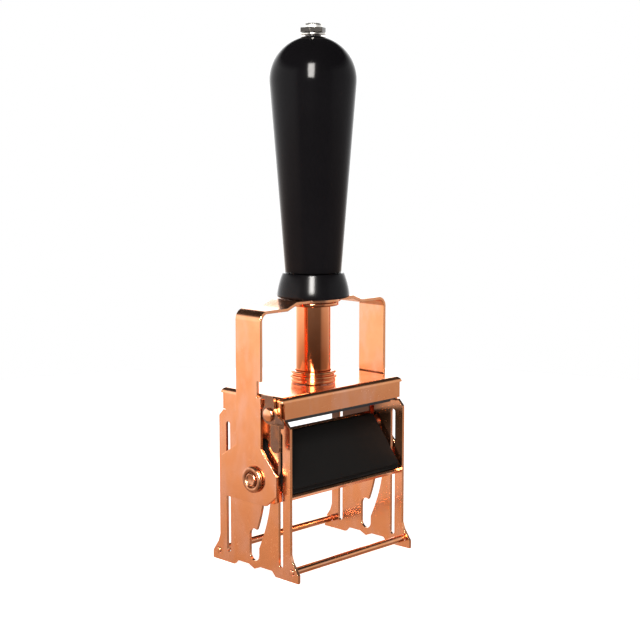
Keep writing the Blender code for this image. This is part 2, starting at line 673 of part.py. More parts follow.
def strap_rows():
    """Half of the strap's middle surface, from its centre out and down: (x, z, front y, rear y)."""
    middle = strap_outer - STRAP_SHEET / 2
    top = strap_top - STRAP_SHEET / 2
    radius = STRAP_BEND - STRAP_SHEET / 2
    disc = sleeve_radius + CLEARANCE + BOSS_EYE_WALL
    disc_steps = 6
    disc_end = acos(strap_half / disc)
    rows = []
    for i in range(1, disc_steps + 1):
        angle = disc_end * i / disc_steps
        half = disc * cos(angle)
        rows.append((disc * sin(angle), top + BOSS_RISE, -half, half))
    rows += [
        (BOSS_HALF, top + BOSS_RISE, -strap_half, strap_half),
        (BOSS_HALF + BOSS_RAMP, top, -strap_half, strap_half),
    ]
    bend_steps = 9
    for i in range(bend_steps + 1):
        angle = pi / 2 * (1 - i / bend_steps)
        x, z = middle - radius * (1 - cos(angle)), top - radius * (1 - sin(angle))
        rows.append((x, z, -strap_half, strap_half))
    neck_slope = (LUG_NECK - LUG_SHOULDER_FRONT) / (lug_half - strap_half)
    front_at_rear_shoulder = -lug_half + (LUG_SHOULDER_REAR - LUG_SHOULDER_FRONT) / neck_slope
    foot = pivot_z - LUG_BELOW
    rows += [
        (middle, pivot_z + LUG_NECK, -strap_half, strap_half),
        (middle, pivot_z + LUG_SHOULDER_REAR, front_at_rear_shoulder, lug_half),
        (middle, pivot_z + LUG_SHOULDER_FRONT, -lug_half, lug_half),
        (middle, foot + 0.8 * LUG_CHAMFER_FRONT, -lug_half, lug_half),
        (middle, foot, -lug_half + LUG_CHAMFER_FRONT, lug_half),
    ]
    return rows


def make_yoke_strap(yoke):
    rows = strap_rows()
    rows = [(-x, z, front, rear) for x, z, front, rear in rows[::-1]] + rows
    bm = bmesh.new()
    last = None
    for x, z, front, rear in rows:
        row = (bm.verts.new((x, front, z)), bm.verts.new((x, rear, z)))
        if last:
            bm.faces.new((last[0], row[0], row[1], last[1]))
        last = row
    mesh = bpy.data.meshes.new("yoke_strap")
    bm.to_mesh(mesh)
    bm.free()
    strap = add_part("yoke_strap", mesh, copper, yoke)
    solidify = strap.modifiers.new("sheet", "SOLIDIFY")
    solidify.thickness = STRAP_SHEET
    solidify.offset = 0
    solidify.use_even_offset = True
    for side, label in ((-1, "left"), (1, "right")):
        for end, where in ((-1, "front"), (1, "rear")):
            x = sorted((side * (plate_inner + CLEARANCE), side * (strap_outer - STRAP_SHEET / 2)))
            y = sorted((end * tab_inner, end * tab_outer))
            name = f"strap_tab_{where}_{label}"
            tab = box_mesh(name, (x[0], y[0], pivot_z - TAB_BELOW), (x[1], y[1], pivot_z + TAB_HEIGHT - TAB_BELOW))
            boolean(strap, "UNION", add_cutter(name, tab))
    reach = strap_outer + OVERCUT
    hole = rod_mesh("strap_pivot_hole", SCREW_SHANK + CLEARANCE, -reach, reach)
    boolean(strap, "DIFFERENCE", along_x(add_cutter("strap_pivot_hole", hole), 1, PIVOT_Y, pivot_z))
    low, high = boss_under - OVERCUT, boss_top + OVERCUT
    hole = rod_mesh("strap_sleeve_hole", sleeve_radius + CLEARANCE, low, high, 40)
    boolean(strap, "DIFFERENCE", add_cutter("strap_sleeve_hole", hole))
    notch_foot = BRIDGE_TOP - NOTCH_BASE
    notch = box_mesh(
        "strap_lock_notch",
        (-strap_outer - OVERCUT, -strap_half - OVERCUT, notch_foot),
        (-strap_inner + OVERCUT, -strap_half + NOTCH_DEPTH, notch_foot + NOTCH_HEIGHT),
    )
    boolean(strap, "DIFFERENCE", add_cutter("strap_lock_notch", notch))


def make_handle(yoke):
    sleeve = [
        (TIE_ROD_RADIUS + CLEARANCE, sleeve_top), (sleeve_radius, sleeve_top), (sleeve_radius, sleeve_seat),
        (SLEEVE_FLANGE, sleeve_seat), (SLEEVE_FLANGE, sleeve_foot), (sleeve_bore, sleeve_foot),
        (sleeve_bore, sleeve_roof), (TIE_ROD_RADIUS + CLEARANCE, sleeve_roof),
    ]
    turned("handle_sleeve", sleeve, tube_copper, ring=True, steps=48, parent=yoke)
    ferrule = [
        (grip_bore, ferrule_top), (FERRULE_HEAD - EDGE_BREAK, ferrule_top),
        (FERRULE_HEAD, ferrule_top - EDGE_BREAK), (0.94 * FERRULE_FOOT, ferrule_foot + 0.55 * FERRULE_HEIGHT),
        (FERRULE_FOOT, ferrule_foot + 0.15 * FERRULE_HEIGHT), (FERRULE_FOOT, ferrule_foot + EDGE_BREAK),
        (FERRULE_FOOT - EDGE_BREAK, ferrule_foot), (grip_bore, ferrule_foot),
    ]
    turned("ferrule", ferrule, black_grip, ring=True, steps=56, parent=yoke)

    # the grip is a cone that runs smoothly into a ball: the ball takes over where the cone touches it
    ball_z = grip_top - sqrt(BALL_RADIUS ** 2 - (TIE_ROD_RADIUS + CLEARANCE) ** 2)
    rise = ball_z - grip_foot
    start = asin((TIE_ROD_RADIUS + CLEARANCE) / BALL_RADIUS)
    touch = pi - acos(BALL_RADIUS / hypot(rise, GRIP_FOOT)) - atan2(GRIP_FOOT, rise)
    ball_steps = 16
    grip = [(TIE_ROD_RADIUS + CLEARANCE, grip_top)]
    for i in range(1, ball_steps + 1):
        angle = start + (touch - start) * i / ball_steps
        grip.append((BALL_RADIUS * sin(angle), ball_z + BALL_RADIUS * cos(angle)))
    bore_top = sleeve_top + CLEARANCE
    grip += [
        (GRIP_FOOT, grip_foot + EDGE_BREAK), (GRIP_FOOT - EDGE_BREAK, grip_foot),
        (grip_bore, grip_foot), (grip_bore, bore_top), (TIE_ROD_RADIUS + CLEARANCE, bore_top),
    ]
    turned("handle_grip", grip, black_grip, ring=True, steps=64, parent=yoke)

    rod_top = cap_foot + CAP_HEX_HEIGHT
    rod = [(0, rod_top), (TIE_ROD_RADIUS, rod_top), (TIE_ROD_RADIUS, rod_nut_foot), (0, rod_nut_foot)]
    turned("tie_rod", rod, spring_steel, steps=24, parent=yoke)
    hole = TIE_ROD_RADIUS + CLEARANCE
    nut_top = rod_nut_foot + ROD_NUT_HEIGHT
    nut = add_part("rod_nut", rod_mesh("rod_nut", rod_nut_radius, rod_nut_foot, nut_top, 6), nickel, yoke)
    drill = rod_mesh("rod_nut_hole", hole, rod_nut_foot - OVERCUT, nut_top + OVERCUT)
    boolean(nut, "DIFFERENCE", add_cutter("rod_nut_hole", drill))
    washer = ring_profile(hole, CAP_WASHER_RADIUS, cap_washer_foot, cap_washer_foot + CAP_WASHER_SHEET)
    turned("cap_washer", washer, nickel, ring=True, steps=32, parent=yoke)
    dome_foot = cap_foot + CAP_HEX_HEIGHT
    cap = add_part("cap_nut", rod_mesh("cap_nut", CAP_RADIUS, cap_foot, dome_foot, 6), nickel, yoke)
    dome = rod_mesh("cap_nut_dome", CAP_DOME_RADIUS, cap_foot + CAP_HEX_HEIGHT / 4, cap_top, 24)
    bm = bmesh.new()
    bm.from_mesh(dome)
    crown = [e for e in bm.edges if all(v.co.z > cap_top - FACE_BAND for v in e.verts)]
    bmesh.ops.bevel(
        bm, geom=crown, offset=0.75 * CAP_DOME_HEIGHT, affect="EDGES", segments=4, profile=0.5, material=-1
    )
    bm.to_mesh(dome)
    bm.free()
    boolean(cap, "UNION", add_cutter("cap_nut_dome", dome))
    drill = rod_mesh("cap_nut_hole", hole, cap_foot - OVERCUT, rod_top + CLEARANCE)
    boolean(cap, "DIFFERENCE", add_cutter("cap_nut_hole", drill))


def make_pivot_screws(yoke):
    hole = SCREW_SHANK + CLEARANCE
    washer_floor = washer_inner + SCREW_WASHER_SHEET
    washer_crest = washer_inner + SCREW_WASHER_HEIGHT
    bowl = SCREW_HEAD + CLEARANCE
    washer = [
        (hole, washer_floor), (bowl, washer_floor), (0.4 * bowl + 0.6 * SCREW_WASHER, washer_crest),
        (0.85 * SCREW_WASHER, washer_crest), (0.97 * SCREW_WASHER, washer_inner + 0.6 * SCREW_WASHER_HEIGHT),
        (SCREW_WASHER, washer_inner), (hole, washer_inner),
    ]
    for side, label in ((-1, "left"), (1, "right")):
        piece = turned(f"pivot_washer_{label}", washer, copper, ring=True, steps=32, parent=yoke)
        along_x(piece, side, PIVOT_Y, pivot_z)
        top = head_inner + SCREW_HEAD_HEIGHT
        shank_end = cover_inner + STEP_IN
        screw = [
            (0, top - SCREW_DISH), (0.4 * SCREW_HEAD, top - 0.9 * SCREW_DISH), (0.7 * SCREW_HEAD, top),
            (0.85 * SCREW_HEAD, top), (SCREW_HEAD, top - 0.4 * SCREW_HEAD_HEIGHT),
            (SCREW_HEAD, head_inner), (SCREW_SHANK, head_inner),
            (SCREW_SHANK, shank_end), (0, shank_end),
        ]
        piece = turned(f"pivot_screw_{label}", screw, copper, steps=32, parent=yoke)
        along_x(piece, side, PIVOT_Y, pivot_z)


# ---------------------------------------------------------------- die carriage, drawn facing up


def make_carriage(carriage):
    """The die, its cushion and sheet, the cranks and their pins, all about the pivot."""
    face = DIE_STANDOFF
    die_foot = face - DIE_SHEET
    cushion_top = die_foot - GLUE_LINE
    cushion_foot = cushion_top - CUSHION_SHEET
    sheet_top = cushion_foot - CLEARANCE
    sheet_foot = sheet_top - CARRIAGE_SHEET
    lip_inner = CUSHION_WIDTH / 2 + CLEARANCE
    lip_outer = lip_inner + CARRIAGE_SHEET
    lip_top = sheet_top + LIP_HEIGHT
    channel = [
        (-lip_outer, sheet_foot), (lip_outer, sheet_foot), (lip_outer, lip_top), (lip_inner, lip_top),
        (lip_inner, sheet_top), (-lip_inner, sheet_top), (-lip_inner, lip_top), (-lip_outer, lip_top),
    ]
    mesh = flat_mesh("die_carriage", [channel], 2 * (ear_outer + STEP_IN))
    body = stand_up(add_part("die_carriage", mesh, copper, carriage), 0)
    root = sheet_foot + CARRIAGE_SHEET / 2
    ear = hull([
        (-0.75 * lip_outer, root), (0.6 * lip_outer, root),
        *circle((pin_y, pin_z), CRANK_EYE), *circle((0, 0), PIN_HEAD),
    ])
    for side, label in ((-1, "left"), (1, "right")):
        name = f"carriage_ear_{label}"
        outlines = [ear, circle((pin_y, pin_z), PIN_RADIUS + CLEARANCE, 16)]
        cutter = add_cutter(name, flat_mesh(name, outlines, EAR_SHEET), carriage)
        boolean(body, "UNION", stand_up(cutter, side * (ear_outer + ear_inner) / 2))
        crank = [
            hull(circle((0, 0), CRANK_HUB) + circle((pin_y, pin_z), CRANK_EYE)),
            circle((0, 0), SCREW_SHANK + CLEARANCE, 16),
            circle((pin_y, pin_z), PIN_RADIUS + CLEARANCE, 16),
        ]
        name = f"crank_{label}"
        piece = add_part(name, flat_mesh(name, crank, CRANK_SHEET), copper, carriage)
        stand_up(piece, side * (cover_inner + crank_outer) / 2)
        pin = [
            (0, crank_outer), (PIN_RADIUS, crank_outer), (PIN_RADIUS, pin_head_outer),
            (PIN_HEAD, pin_head_outer), (PIN_HEAD, pin_head_outer - 0.55 * PIN_HEAD_HEIGHT),
            (0.6 * PIN_HEAD, pin_head_outer - PIN_HEAD_HEIGHT), (0, pin_head_outer - PIN_HEAD_HEIGHT),
        ]
        along_x(turned(f"crank_pin_{label}", pin, copper, steps=20, parent=carriage), side, pin_y, pin_z)
    half = CUSHION_WIDTH / 2
    low, high = (-cushion_half, -half, cushion_foot), (cushion_half, half, cushion_top)
    add_part("die_cushion", box_mesh("die_cushion", low, high), cushion_foam, carriage)
    half = DIE_WIDTH / 2
    die_end = cushion_half - (CUSHION_WIDTH - DIE_WIDTH) / 2
    low, high = (-die_end, -half, die_foot), (die_end, half, face)
    die = box_mesh("rubber_die", low, high, DIE_ROUND, lambda m: m.z > face - FACE_BAND)
    add_part("rubber_die", die, die_rubber, carriage)


# ---------------------------------------------------------------- lock lever, drawn about its rivet


def make_lock_lever():
    gap_to_strap = -strap_half - CLEARANCE - lock_y      # rivet back to just short of the strap's edge
    hook_top = LOCK_HOOK_RISE + LOCK_HOOK_DEPTH
    boss = circle((0, 0), LOCK_BOSS, 28)
    tab_half = LOCK_TAB_WIDTH / 2
    tab_top = -0.45 * LOCK_BOSS - CLEARANCE
    jog_foot = tab_top - LOCK_JOG_DROP
    neck = hull([
        (-0.75 * LOCK_BOSS, 0.0), (0.55 * LOCK_BOSS, 0.5 * LOCK_BOSS),
        (gap_to_strap - LOCK_HOOK_REACH, hook_top), (-0.7 * LOCK_BOSS, hook_top - 0.5 * LOCK_HOOK_DEPTH),
    ])
    tip = 0.3 * LOCK_HOOK_DEPTH
    hook = [
        (-0.7 * LOCK_BOSS, LOCK_HOOK_RISE), (gap_to_strap, LOCK_HOOK_RISE),
        (gap_to_strap, hook_top - tip), (gap_to_strap - tip, hook_top), (-0.5 * LOCK_BOSS, hook_top),
    ]
    arm = hull([
        (0, 0.7 * LOCK_BOSS), (0, -0.8 * LOCK_BOSS), (-LOCK_TAB_FORWARD - tab_half, tab_top + CLEARANCE),
        (-LOCK_TAB_FORWARD - tab_half, jog_foot), (-LOCK_TAB_FORWARD + tab_half, jog_foot),
    ])
    name = "lock_lever"
    lever = add_part(name, flat_mesh(name, [boss], LOCK_SHEET), dark_lever)
    plane = -(strap_inner + lock_outer) / 2
    stand_up(lever, plane, lock_y, lock_z)
    for step, (label, outline) in enumerate((("neck", neck), ("hook", hook), ("arm", arm)), 1):
        sheet = LOCK_SHEET - step * SHEET_STEP
        piece = add_cutter(f"lever_{label}", flat_mesh(f"lever_{label}", [outline], sheet))
        boolean(lever, "UNION", stand_up(piece, plane, lock_y, lock_z))
    finger_outer = lock_outer + LOCK_JOG
    finger_inner = finger_outer - LOCK_SHEET
    jog_y = lock_y - LOCK_TAB_FORWARD
    jog_half = tab_half - STEP_IN
    jog = box_mesh(
        "lever_jog",
        (STEP_IN - finger_outer, jog_y - jog_half, lock_z + jog_foot + STEP_IN),
        (-strap_inner - STEP_IN, jog_y + jog_half, lock_z + jog_foot + LOCK_BEND - STEP_IN),
    )
    boolean(lever, "UNION", add_cutter("lever_jog", jog))
    tab = hull([
        (-LOCK_TAB_FORWARD - tab_half, jog_foot + LOCK_BEND),
        (-LOCK_TAB_FORWARD + tab_half, jog_foot + LOCK_BEND),
        *circle((-LOCK_TAB_FORWARD, -LOCK_TAB_DROP), tab_half),
    ])
    piece = add_cutter("lever_tab", flat_mesh("lever_tab", [tab], LOCK_SHEET))
    boolean(lever, "UNION", stand_up(piece, -(finger_outer + finger_inner) / 2, lock_y, lock_z))
    hole = rod_mesh("lever_rivet_hole", LOCK_RIVET + CLEARANCE, 0, 2 * strap_outer, 16)
    drill = add_cutter("lever_rivet_hole", hole)
    boolean(lever, "DIFFERENCE", along_x(drill, -1, lock_y, lock_z))


make_side_plates()
make_base_rods()
make_bridge_cover()
make_rivets()
make_guide_tube()
make_ink_pad()
make_return_spring()
yoke_axis = add_axis("yoke_slide", (0, 0, 0))
make_yoke_strap(yoke_axis)
make_handle(yoke_axis)
make_pivot_screws(yoke_axis)
carriage_axis = add_axis("carriage_turn", (0, PIVOT_Y, pivot_z), REST_TURN)
make_carriage(carriage_axis)
make_lock_lever()

for piece in parts.objects:
    if piece.type == "MESH":
        piece.data.shade_smooth()
        piece.data.set_sharp_from_angle(angle=radians(35))
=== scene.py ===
from math import acos, asin, atan2, cos, hypot, pi, radians, sin, sqrt

import bmesh
import bpy
import json
from mathutils import Matrix, Vector


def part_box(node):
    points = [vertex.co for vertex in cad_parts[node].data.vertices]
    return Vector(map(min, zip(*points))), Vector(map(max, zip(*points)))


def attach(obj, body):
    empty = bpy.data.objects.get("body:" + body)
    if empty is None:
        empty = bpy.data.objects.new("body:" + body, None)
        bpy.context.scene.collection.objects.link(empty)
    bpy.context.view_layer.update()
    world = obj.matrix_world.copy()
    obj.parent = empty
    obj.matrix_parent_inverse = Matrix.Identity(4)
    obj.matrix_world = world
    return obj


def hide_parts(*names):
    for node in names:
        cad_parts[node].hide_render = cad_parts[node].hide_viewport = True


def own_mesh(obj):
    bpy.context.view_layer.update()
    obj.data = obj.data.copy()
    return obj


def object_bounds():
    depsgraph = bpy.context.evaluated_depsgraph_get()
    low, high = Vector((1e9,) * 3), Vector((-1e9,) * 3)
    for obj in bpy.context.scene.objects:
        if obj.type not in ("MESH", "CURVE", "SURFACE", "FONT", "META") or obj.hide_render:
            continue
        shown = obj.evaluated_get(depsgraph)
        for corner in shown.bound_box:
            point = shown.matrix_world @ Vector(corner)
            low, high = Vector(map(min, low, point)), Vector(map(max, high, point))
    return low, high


# Self-inking hand stamp: copper-plated frame, black turned handle,
# and a rubber die that flips over as it prints.
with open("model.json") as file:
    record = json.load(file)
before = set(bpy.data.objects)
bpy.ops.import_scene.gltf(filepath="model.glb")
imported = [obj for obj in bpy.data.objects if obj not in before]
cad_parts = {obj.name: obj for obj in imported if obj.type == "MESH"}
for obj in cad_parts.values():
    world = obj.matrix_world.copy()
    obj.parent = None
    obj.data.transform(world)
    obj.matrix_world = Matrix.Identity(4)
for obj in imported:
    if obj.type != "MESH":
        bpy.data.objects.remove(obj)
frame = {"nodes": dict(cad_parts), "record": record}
cadLow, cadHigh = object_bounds()
cadNodes = frame["nodes"]
mm = 0.001
tiny = 1e-7                      # points closer than this are one point
clearance = 0.3 * mm             # between pieces that slide or turn on each other
print("frame loaded:", len(cadNodes), "nodes")


# node helpers for the materials and the studio

def newMaterial(name):
    material = bpy.data.materials.new(name)
    material.use_nodes = True
    tree = material.node_tree
    return material, tree, tree.nodes["Principled BSDF"]


def addNode(tree, kind, **settings):
    node = tree.nodes.new("ShaderNode" + kind)
    for key, value in settings.items():
        if key in node.inputs:
            node.inputs[key].default_value = value
        else:
            setattr(node, key, value)
    return node


def placeOf(tree):
    # the X, Y and Z of a point, in the piece's own frame
    coords = addNode(tree, "TexCoord")
    split = addNode(tree, "SeparateXYZ")
    tree.links.new(coords.outputs["Object"], split.inputs["Vector"])
    return split.outputs


def mathOf(tree, operation, *sources):
    # one arithmetic node, fed by node outputs or plain numbers
    node = addNode(tree, "Math", operation=operation)
    for socket, source in zip(node.inputs, sources):
        if isinstance(source, float):
            socket.default_value = source
        else:
            tree.links.new(source, socket)
    return node.outputs["Value"]


def objectNoise(tree, scale, detail, stretch=(1, 1, 1), offset=(0, 0, 0)):
    # noise over the piece's own place, stretched along an axis for a brushed grain
    coords = addNode(tree, "TexCoord")
    mapping = addNode(tree, "Mapping", Scale=stretch, Location=offset)
    noise = addNode(tree, "TexNoise", Scale=scale, Detail=detail, Roughness=0.6)
    tree.links.new(coords.outputs["Object"], mapping.inputs["Vector"])
    tree.links.new(mapping.outputs["Vector"], noise.inputs["Vector"])
    return noise.outputs["Fac"]


def rangeOf(tree, source, low, high, fromLow=0.3, fromHigh=0.7):
    span = addNode(tree, "MapRange")
    span.inputs["From Min"].default_value = fromLow
    span.inputs["From Max"].default_value = fromHigh
    span.inputs["To Min"].default_value = low
    span.inputs["To Max"].default_value = high
    tree.links.new(source, span.inputs["Value"])
    return span.outputs["Result"]


def colourMix(tree, factor, first, second):
    mix = tree.nodes.new("ShaderNodeMix")
    mix.data_type = "RGBA"
    tree.links.new(factor, mix.inputs[0])
    for index, value in ((6, first), (7, second)):
        if isinstance(value, tuple):
            mix.inputs[index].default_value = (*value, 1)
        else:
            tree.links.new(value, mix.inputs[index])
    return mix.outputs[2]


edgeWear = {"samples": 4, "edgeDot": 0.86, "flatDot": 0.995}


def edgeMask(tree, radius):
    # 0 on flat faces, rising to 1 on an edge, whichever way the piece is turned
    rounded = addNode(tree, "Bevel", samples=edgeWear["samples"], Radius=radius)
    geometry = addNode(tree, "NewGeometry")
    dot = addNode(tree, "VectorMath", operation="DOT_PRODUCT")
    tree.links.new(rounded.outputs["Normal"], dot.inputs[0])
    tree.links.new(geometry.outputs["Normal"], dot.inputs[1])
    return rangeOf(tree, dot.outputs["Value"], 1.0, 0.0, edgeWear["edgeDot"], edgeWear["flatDot"])


def addBump(tree, height, strength, distance, target):
    bump = addNode(tree, "Bump", Strength=strength, Distance=distance)
    tree.links.new(height, bump.inputs["Height"])
    tree.links.new(bump.outputs["Normal"], target)
    return bump


def innerPaintedShade(tree, look):
    # painted shade: the side that faces the die is darkened, more so higher up and towards the back
    place = placeOf(tree)
    across = mathOf(tree, "ABSOLUTE", place["X"])
    inside = rangeOf(tree, across, 1.0, 0.0, *look["shadeX"])
    height = rangeOf(tree, place["Z"], 0.0, 1.0, *look["shadeZ"])
    depth = rangeOf(tree, place["Y"], look["shadeFront"], 1.0, *look["shadeY"])
    return mathOf(tree, "MULTIPLY", mathOf(tree, "MULTIPLY", inside, height), depth)


metalNoise = {
    "grainDetail": 3.0, "blushRange": (0.42, 0.68), "speckRange": (0.55, 0.75),
    "cloud": {"detail": 5.0, "offset": (0.31, 0.17, 0.05)},
    "speck": {"detail": 2.0, "offset": (0.7, 0.2, 0.4)},
    "blush": {"detail": 2.0, "offset": (0.11, 0.53, 0.29), "stretch": (1, 1, 0.5)},
    "ripple": {"detail": 1.0, "offset": (0.4, 0.9, 0.6)},
}


def platedMetal(name, look):
    # metal with a drawn grain, cloudy tint from handling, edges where the plating has worn, and
    # painted shade where a look asks for it
    material, tree, shader = newMaterial(name)
    shader.inputs["Metallic"].default_value = 1.0
    grain = objectNoise(tree, look["grainScale"], metalNoise["grainDetail"], look["grainStretch"])
    cloud, speck, blush, ripple = (
        objectNoise(tree, look[field + "Scale"], **metalNoise[field])
        for field in ("cloud", "speck", "blush", "ripple")
    )
    blushed = rangeOf(tree, blush, 0.0, 1.0, *metalNoise["blushRange"])
    tint = colourMix(tree, rangeOf(tree, cloud, 0.0, 1.0), look["colour"], look["cloudColour"])
    tint = colourMix(tree, blushed, tint, look["blushColour"])
    tint = colourMix(tree, rangeOf(tree, grain, 0.0, look["grainTint"]), tint, look["grainColour"])
    tint = colourMix(tree, edgeMask(tree, look["edgeRadius"]), tint, look["edgeColour"])
    # painted shade on the inner faces of the side plates
    if "shadeColour" in look:
        tint = colourMix(tree, innerPaintedShade(tree, look), tint, look["shadeColour"])
    # painted shade on the cap nut's flats
    if "flatsShadeColour" in look:
        shadeBelowCrown = rangeOf(tree, placeOf(tree)["Z"], 1.0, 0.0, *look["flatsZ"])
        tint = colourMix(tree, shadeBelowCrown, tint, look["flatsShadeColour"])
    tree.links.new(tint, shader.inputs["Base Color"])
    rough = rangeOf(tree, cloud, look["roughLow"], look["roughHigh"])
    more = rangeOf(tree, speck, 0.0, look["speckRough"], *metalNoise["speckRange"])
    tree.links.new(mathOf(tree, "ADD", rough, more), shader.inputs["Roughness"])
    # rolled sheet is never quite flat, so what it mirrors wavers below the fine grain
    fine = addBump(tree, grain, look["bump"], look["bumpDepth"], shader.inputs["Normal"])
    addBump(tree, ripple, 1.0, look["rippleDepth"], fine.inputs["Normal"])
    return material


copperLook = {
    "colour": (0.91, 0.42, 0.20), "cloudColour": (0.86, 0.34, 0.14),
    "blushColour": (0.89, 0.45, 0.29), "blushScale": 120.0,
    "rippleScale": 95.0, "rippleDepth": 0.05 * mm,
    "grainColour": (0.80, 0.36, 0.19), "grainTint": 0.35, "edgeColour": (0.93, 0.55, 0.33),
    "grainStretch": (1.0, 1.0, 0.06), "grainScale": 5200.0, "cloudScale": 85.0,
    "speckScale": 900.0, "speckRough": 0.08, "roughLow": 0.15, "roughHigh": 0.25,
    "edgeRadius": 0.25 * mm, "bump": 0.04, "bumpDepth": 0.02 * mm,
}
tubeLook = dict(
    copperLook, colour=(0.86, 0.34, 0.15), cloudColour=(0.80, 0.28, 0.12),
    blushColour=(0.84, 0.36, 0.19), roughLow=0.07, roughHigh=0.14,
    grainStretch=(0.05, 0.05, 1.0), bump=0.06, speckRough=0.04,
)
# the side plates get painted shade on their inner faces, where they sit behind the die and under the
# bridge
plateLook = dict(
    copperLook, shadeColour=(0.10, 0.055, 0.04), shadeX=(32.0 * mm, 32.4 * mm),
    shadeZ=(34 * mm, 50 * mm), shadeY=(-18 * mm, -4 * mm), shadeFront=0.15,
)
# a darker copper, with dark cloudy patches, for the pivot screws and their cup washers
washerLook = dict(
    copperLook, colour=(0.62, 0.26, 0.12), cloudColour=(0.36, 0.16, 0.09),
    grainColour=(0.30, 0.13, 0.08), blushColour=(0.70, 0.32, 0.18), edgeColour=(0.84, 0.42, 0.22),
    roughLow=0.2, roughHigh=0.32, cloudScale=420.0, blushScale=500.0,
)
# painted shade: the lock lever's copper is about half as bright as the rest, standing in for the
# shade it sits in
leverLook = dict(
    copperLook, colour=(0.42, 0.18, 0.09), cloudColour=(0.16, 0.09, 0.065),
    blushColour=(0.24, 0.14, 0.10), grainColour=(0.10, 0.055, 0.045), edgeColour=(0.80, 0.40, 0.20),
    roughLow=0.2, roughHigh=0.36, cloudScale=260.0, blushScale=320.0,
)
nickelLook = dict(
    copperLook, colour=(0.78, 0.76, 0.71), cloudColour=(0.72, 0.70, 0.66),
    blushColour=(0.76, 0.73, 0.67), grainColour=(0.66, 0.64, 0.60), edgeColour=(0.86, 0.85, 0.82),
    roughLow=0.10, roughHigh=0.2, bump=0.05,
)
# painted shade: the cap nut's flats are painted dark below its polished crown
flatsHeight, flatsBlend = 1.8 * mm, 0.1 * mm
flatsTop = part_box("cap_nut")[0].z + flatsHeight
capLook = dict(
    nickelLook, colour=(0.97, 0.96, 0.92), cloudColour=(0.93, 0.92, 0.88),
    blushColour=(0.95, 0.94, 0.90), grainColour=(0.90, 0.89, 0.85), roughLow=0.3, roughHigh=0.38,
    flatsShadeColour=(0.07, 0.065, 0.06), flatsZ=(flatsTop - flatsBlend, flatsTop + flatsBlend),
)
steelLook = dict(
    copperLook, colour=(0.50, 0.50, 0.51), cloudColour=(0.44, 0.44, 0.46),
    blushColour=(0.48, 0.47, 0.47), grainColour=(0.36, 0.36, 0.38), edgeColour=(0.6, 0.6, 0.61),
    roughLow=0.24, roughHigh=0.36,
)
copper = platedMetal("copperPlate", copperLook)
plateCopper = platedMetal("innerShadeCopper", plateLook)
tubeCopper = platedMetal("polishedCopper", tubeLook)
darkerCopper = platedMetal("darkerCopper", washerLook)
leverShadeCopper = platedMetal("shadedLeverCopper", leverLook)
nickel = platedMetal("nickelPlate", nickelLook)
capNickel = platedMetal("capNickel", capLook)
steel = platedMetal("brightSteel", steelLook)


mouldedNoise = {
    "grainDetail": 6.0, "grainTint": 0.5, "grainRange": (0.5, 0.8),
    "cloud": {"detail": 4.0, "offset": (0.2, 0.4, 0.1)},
}


def mouldedBlack(name, look):
    # a black that isn't metal: moulded plastic, rubber, foam or inked felt, by its grain and gloss
    material, tree, shader = newMaterial(name)
    shader.inputs["IOR"].default_value = look["ior"]
    cloud = objectNoise(tree, look["cloudScale"], **mouldedNoise["cloud"])
    grain = objectNoise(tree, look["grainScale"], mouldedNoise["grainDetail"])
    raised = rangeOf(tree, grain, 0.0, mouldedNoise["grainTint"], *mouldedNoise["grainRange"])
    tint = colourMix(tree, rangeOf(tree, cloud, 0.0, 1.0), look["colour"], look["cloudColour"])
    tint = colourMix(tree, raised, tint, look["grainColour"])
    rough = rangeOf(tree, cloud, look["roughLow"], look["roughHigh"])
    tree.links.new(tint, shader.inputs["Base Color"])
    tree.links.new(rough, shader.inputs["Roughness"])
    addBump(tree, grain, look["bump"], look["bumpDepth"], shader.inputs["Normal"])
    return material


gripLook = {
    "colour": (0.0085, 0.0078, 0.0092), "cloudColour": (0.0105, 0.0095, 0.011),
    "grainColour": (0.013, 0.012, 0.013), "ior": 1.17, "roughLow": 0.11, "roughHigh": 0.15,
    "cloudScale": 45.0, "grainScale": 2600.0, "bump": 0.05, "bumpDepth": 0.01 * mm,
}
rubberLook = dict(
    gripLook, colour=(0.006, 0.0052, 0.005), cloudColour=(0.0075, 0.0065, 0.006),
    grainColour=(0.012, 0.0105, 0.010), ior=1.18, roughLow=0.68, roughHigh=0.78,
    grainScale=3500.0, bump=0.25, bumpDepth=0.03 * mm,
)
foamLook = dict(
    rubberLook, colour=(0.020, 0.019, 0.018), grainColour=(0.034, 0.032, 0.031),
    roughLow=0.9, roughHigh=1.0, grainScale=1900.0, bump=0.7, bumpDepth=0.12 * mm,
)
feltLook = dict(
    rubberLook, colour=(0.030, 0.028, 0.033), cloudColour=(0.045, 0.043, 0.047),
    grainColour=(0.07, 0.068, 0.07), roughLow=0.92, roughHigh=1.0,
    grainScale=1500.0, bump=0.8, bumpDepth=0.15 * mm,
)
trayLook = dict(
    rubberLook, colour=(0.045, 0.044, 0.044), cloudColour=(0.056, 0.055, 0.054),
    grainColour=(0.065, 0.064, 0.063), roughLow=0.42, roughHigh=0.52,
    grainScale=1400.0, bump=0.2, bumpDepth=0.04 * mm,
)
ferruleLook = dict(gripLook, ior=1.22, roughLow=0.15, roughHigh=0.2)
gripBlack = mouldedBlack("glossBlack", gripLook)
ferruleBlack = mouldedBlack("ferruleBlack", ferruleLook)
dieRubber = mouldedBlack("stampRubber", rubberLook)
foam = mouldedBlack("blackFoam", foamLook)
felt = mouldedBlack("inkedFelt", feltLook)
trayPlastic = mouldedBlack("trayPlastic", trayLook)
print("materials made")


# modelling helpers

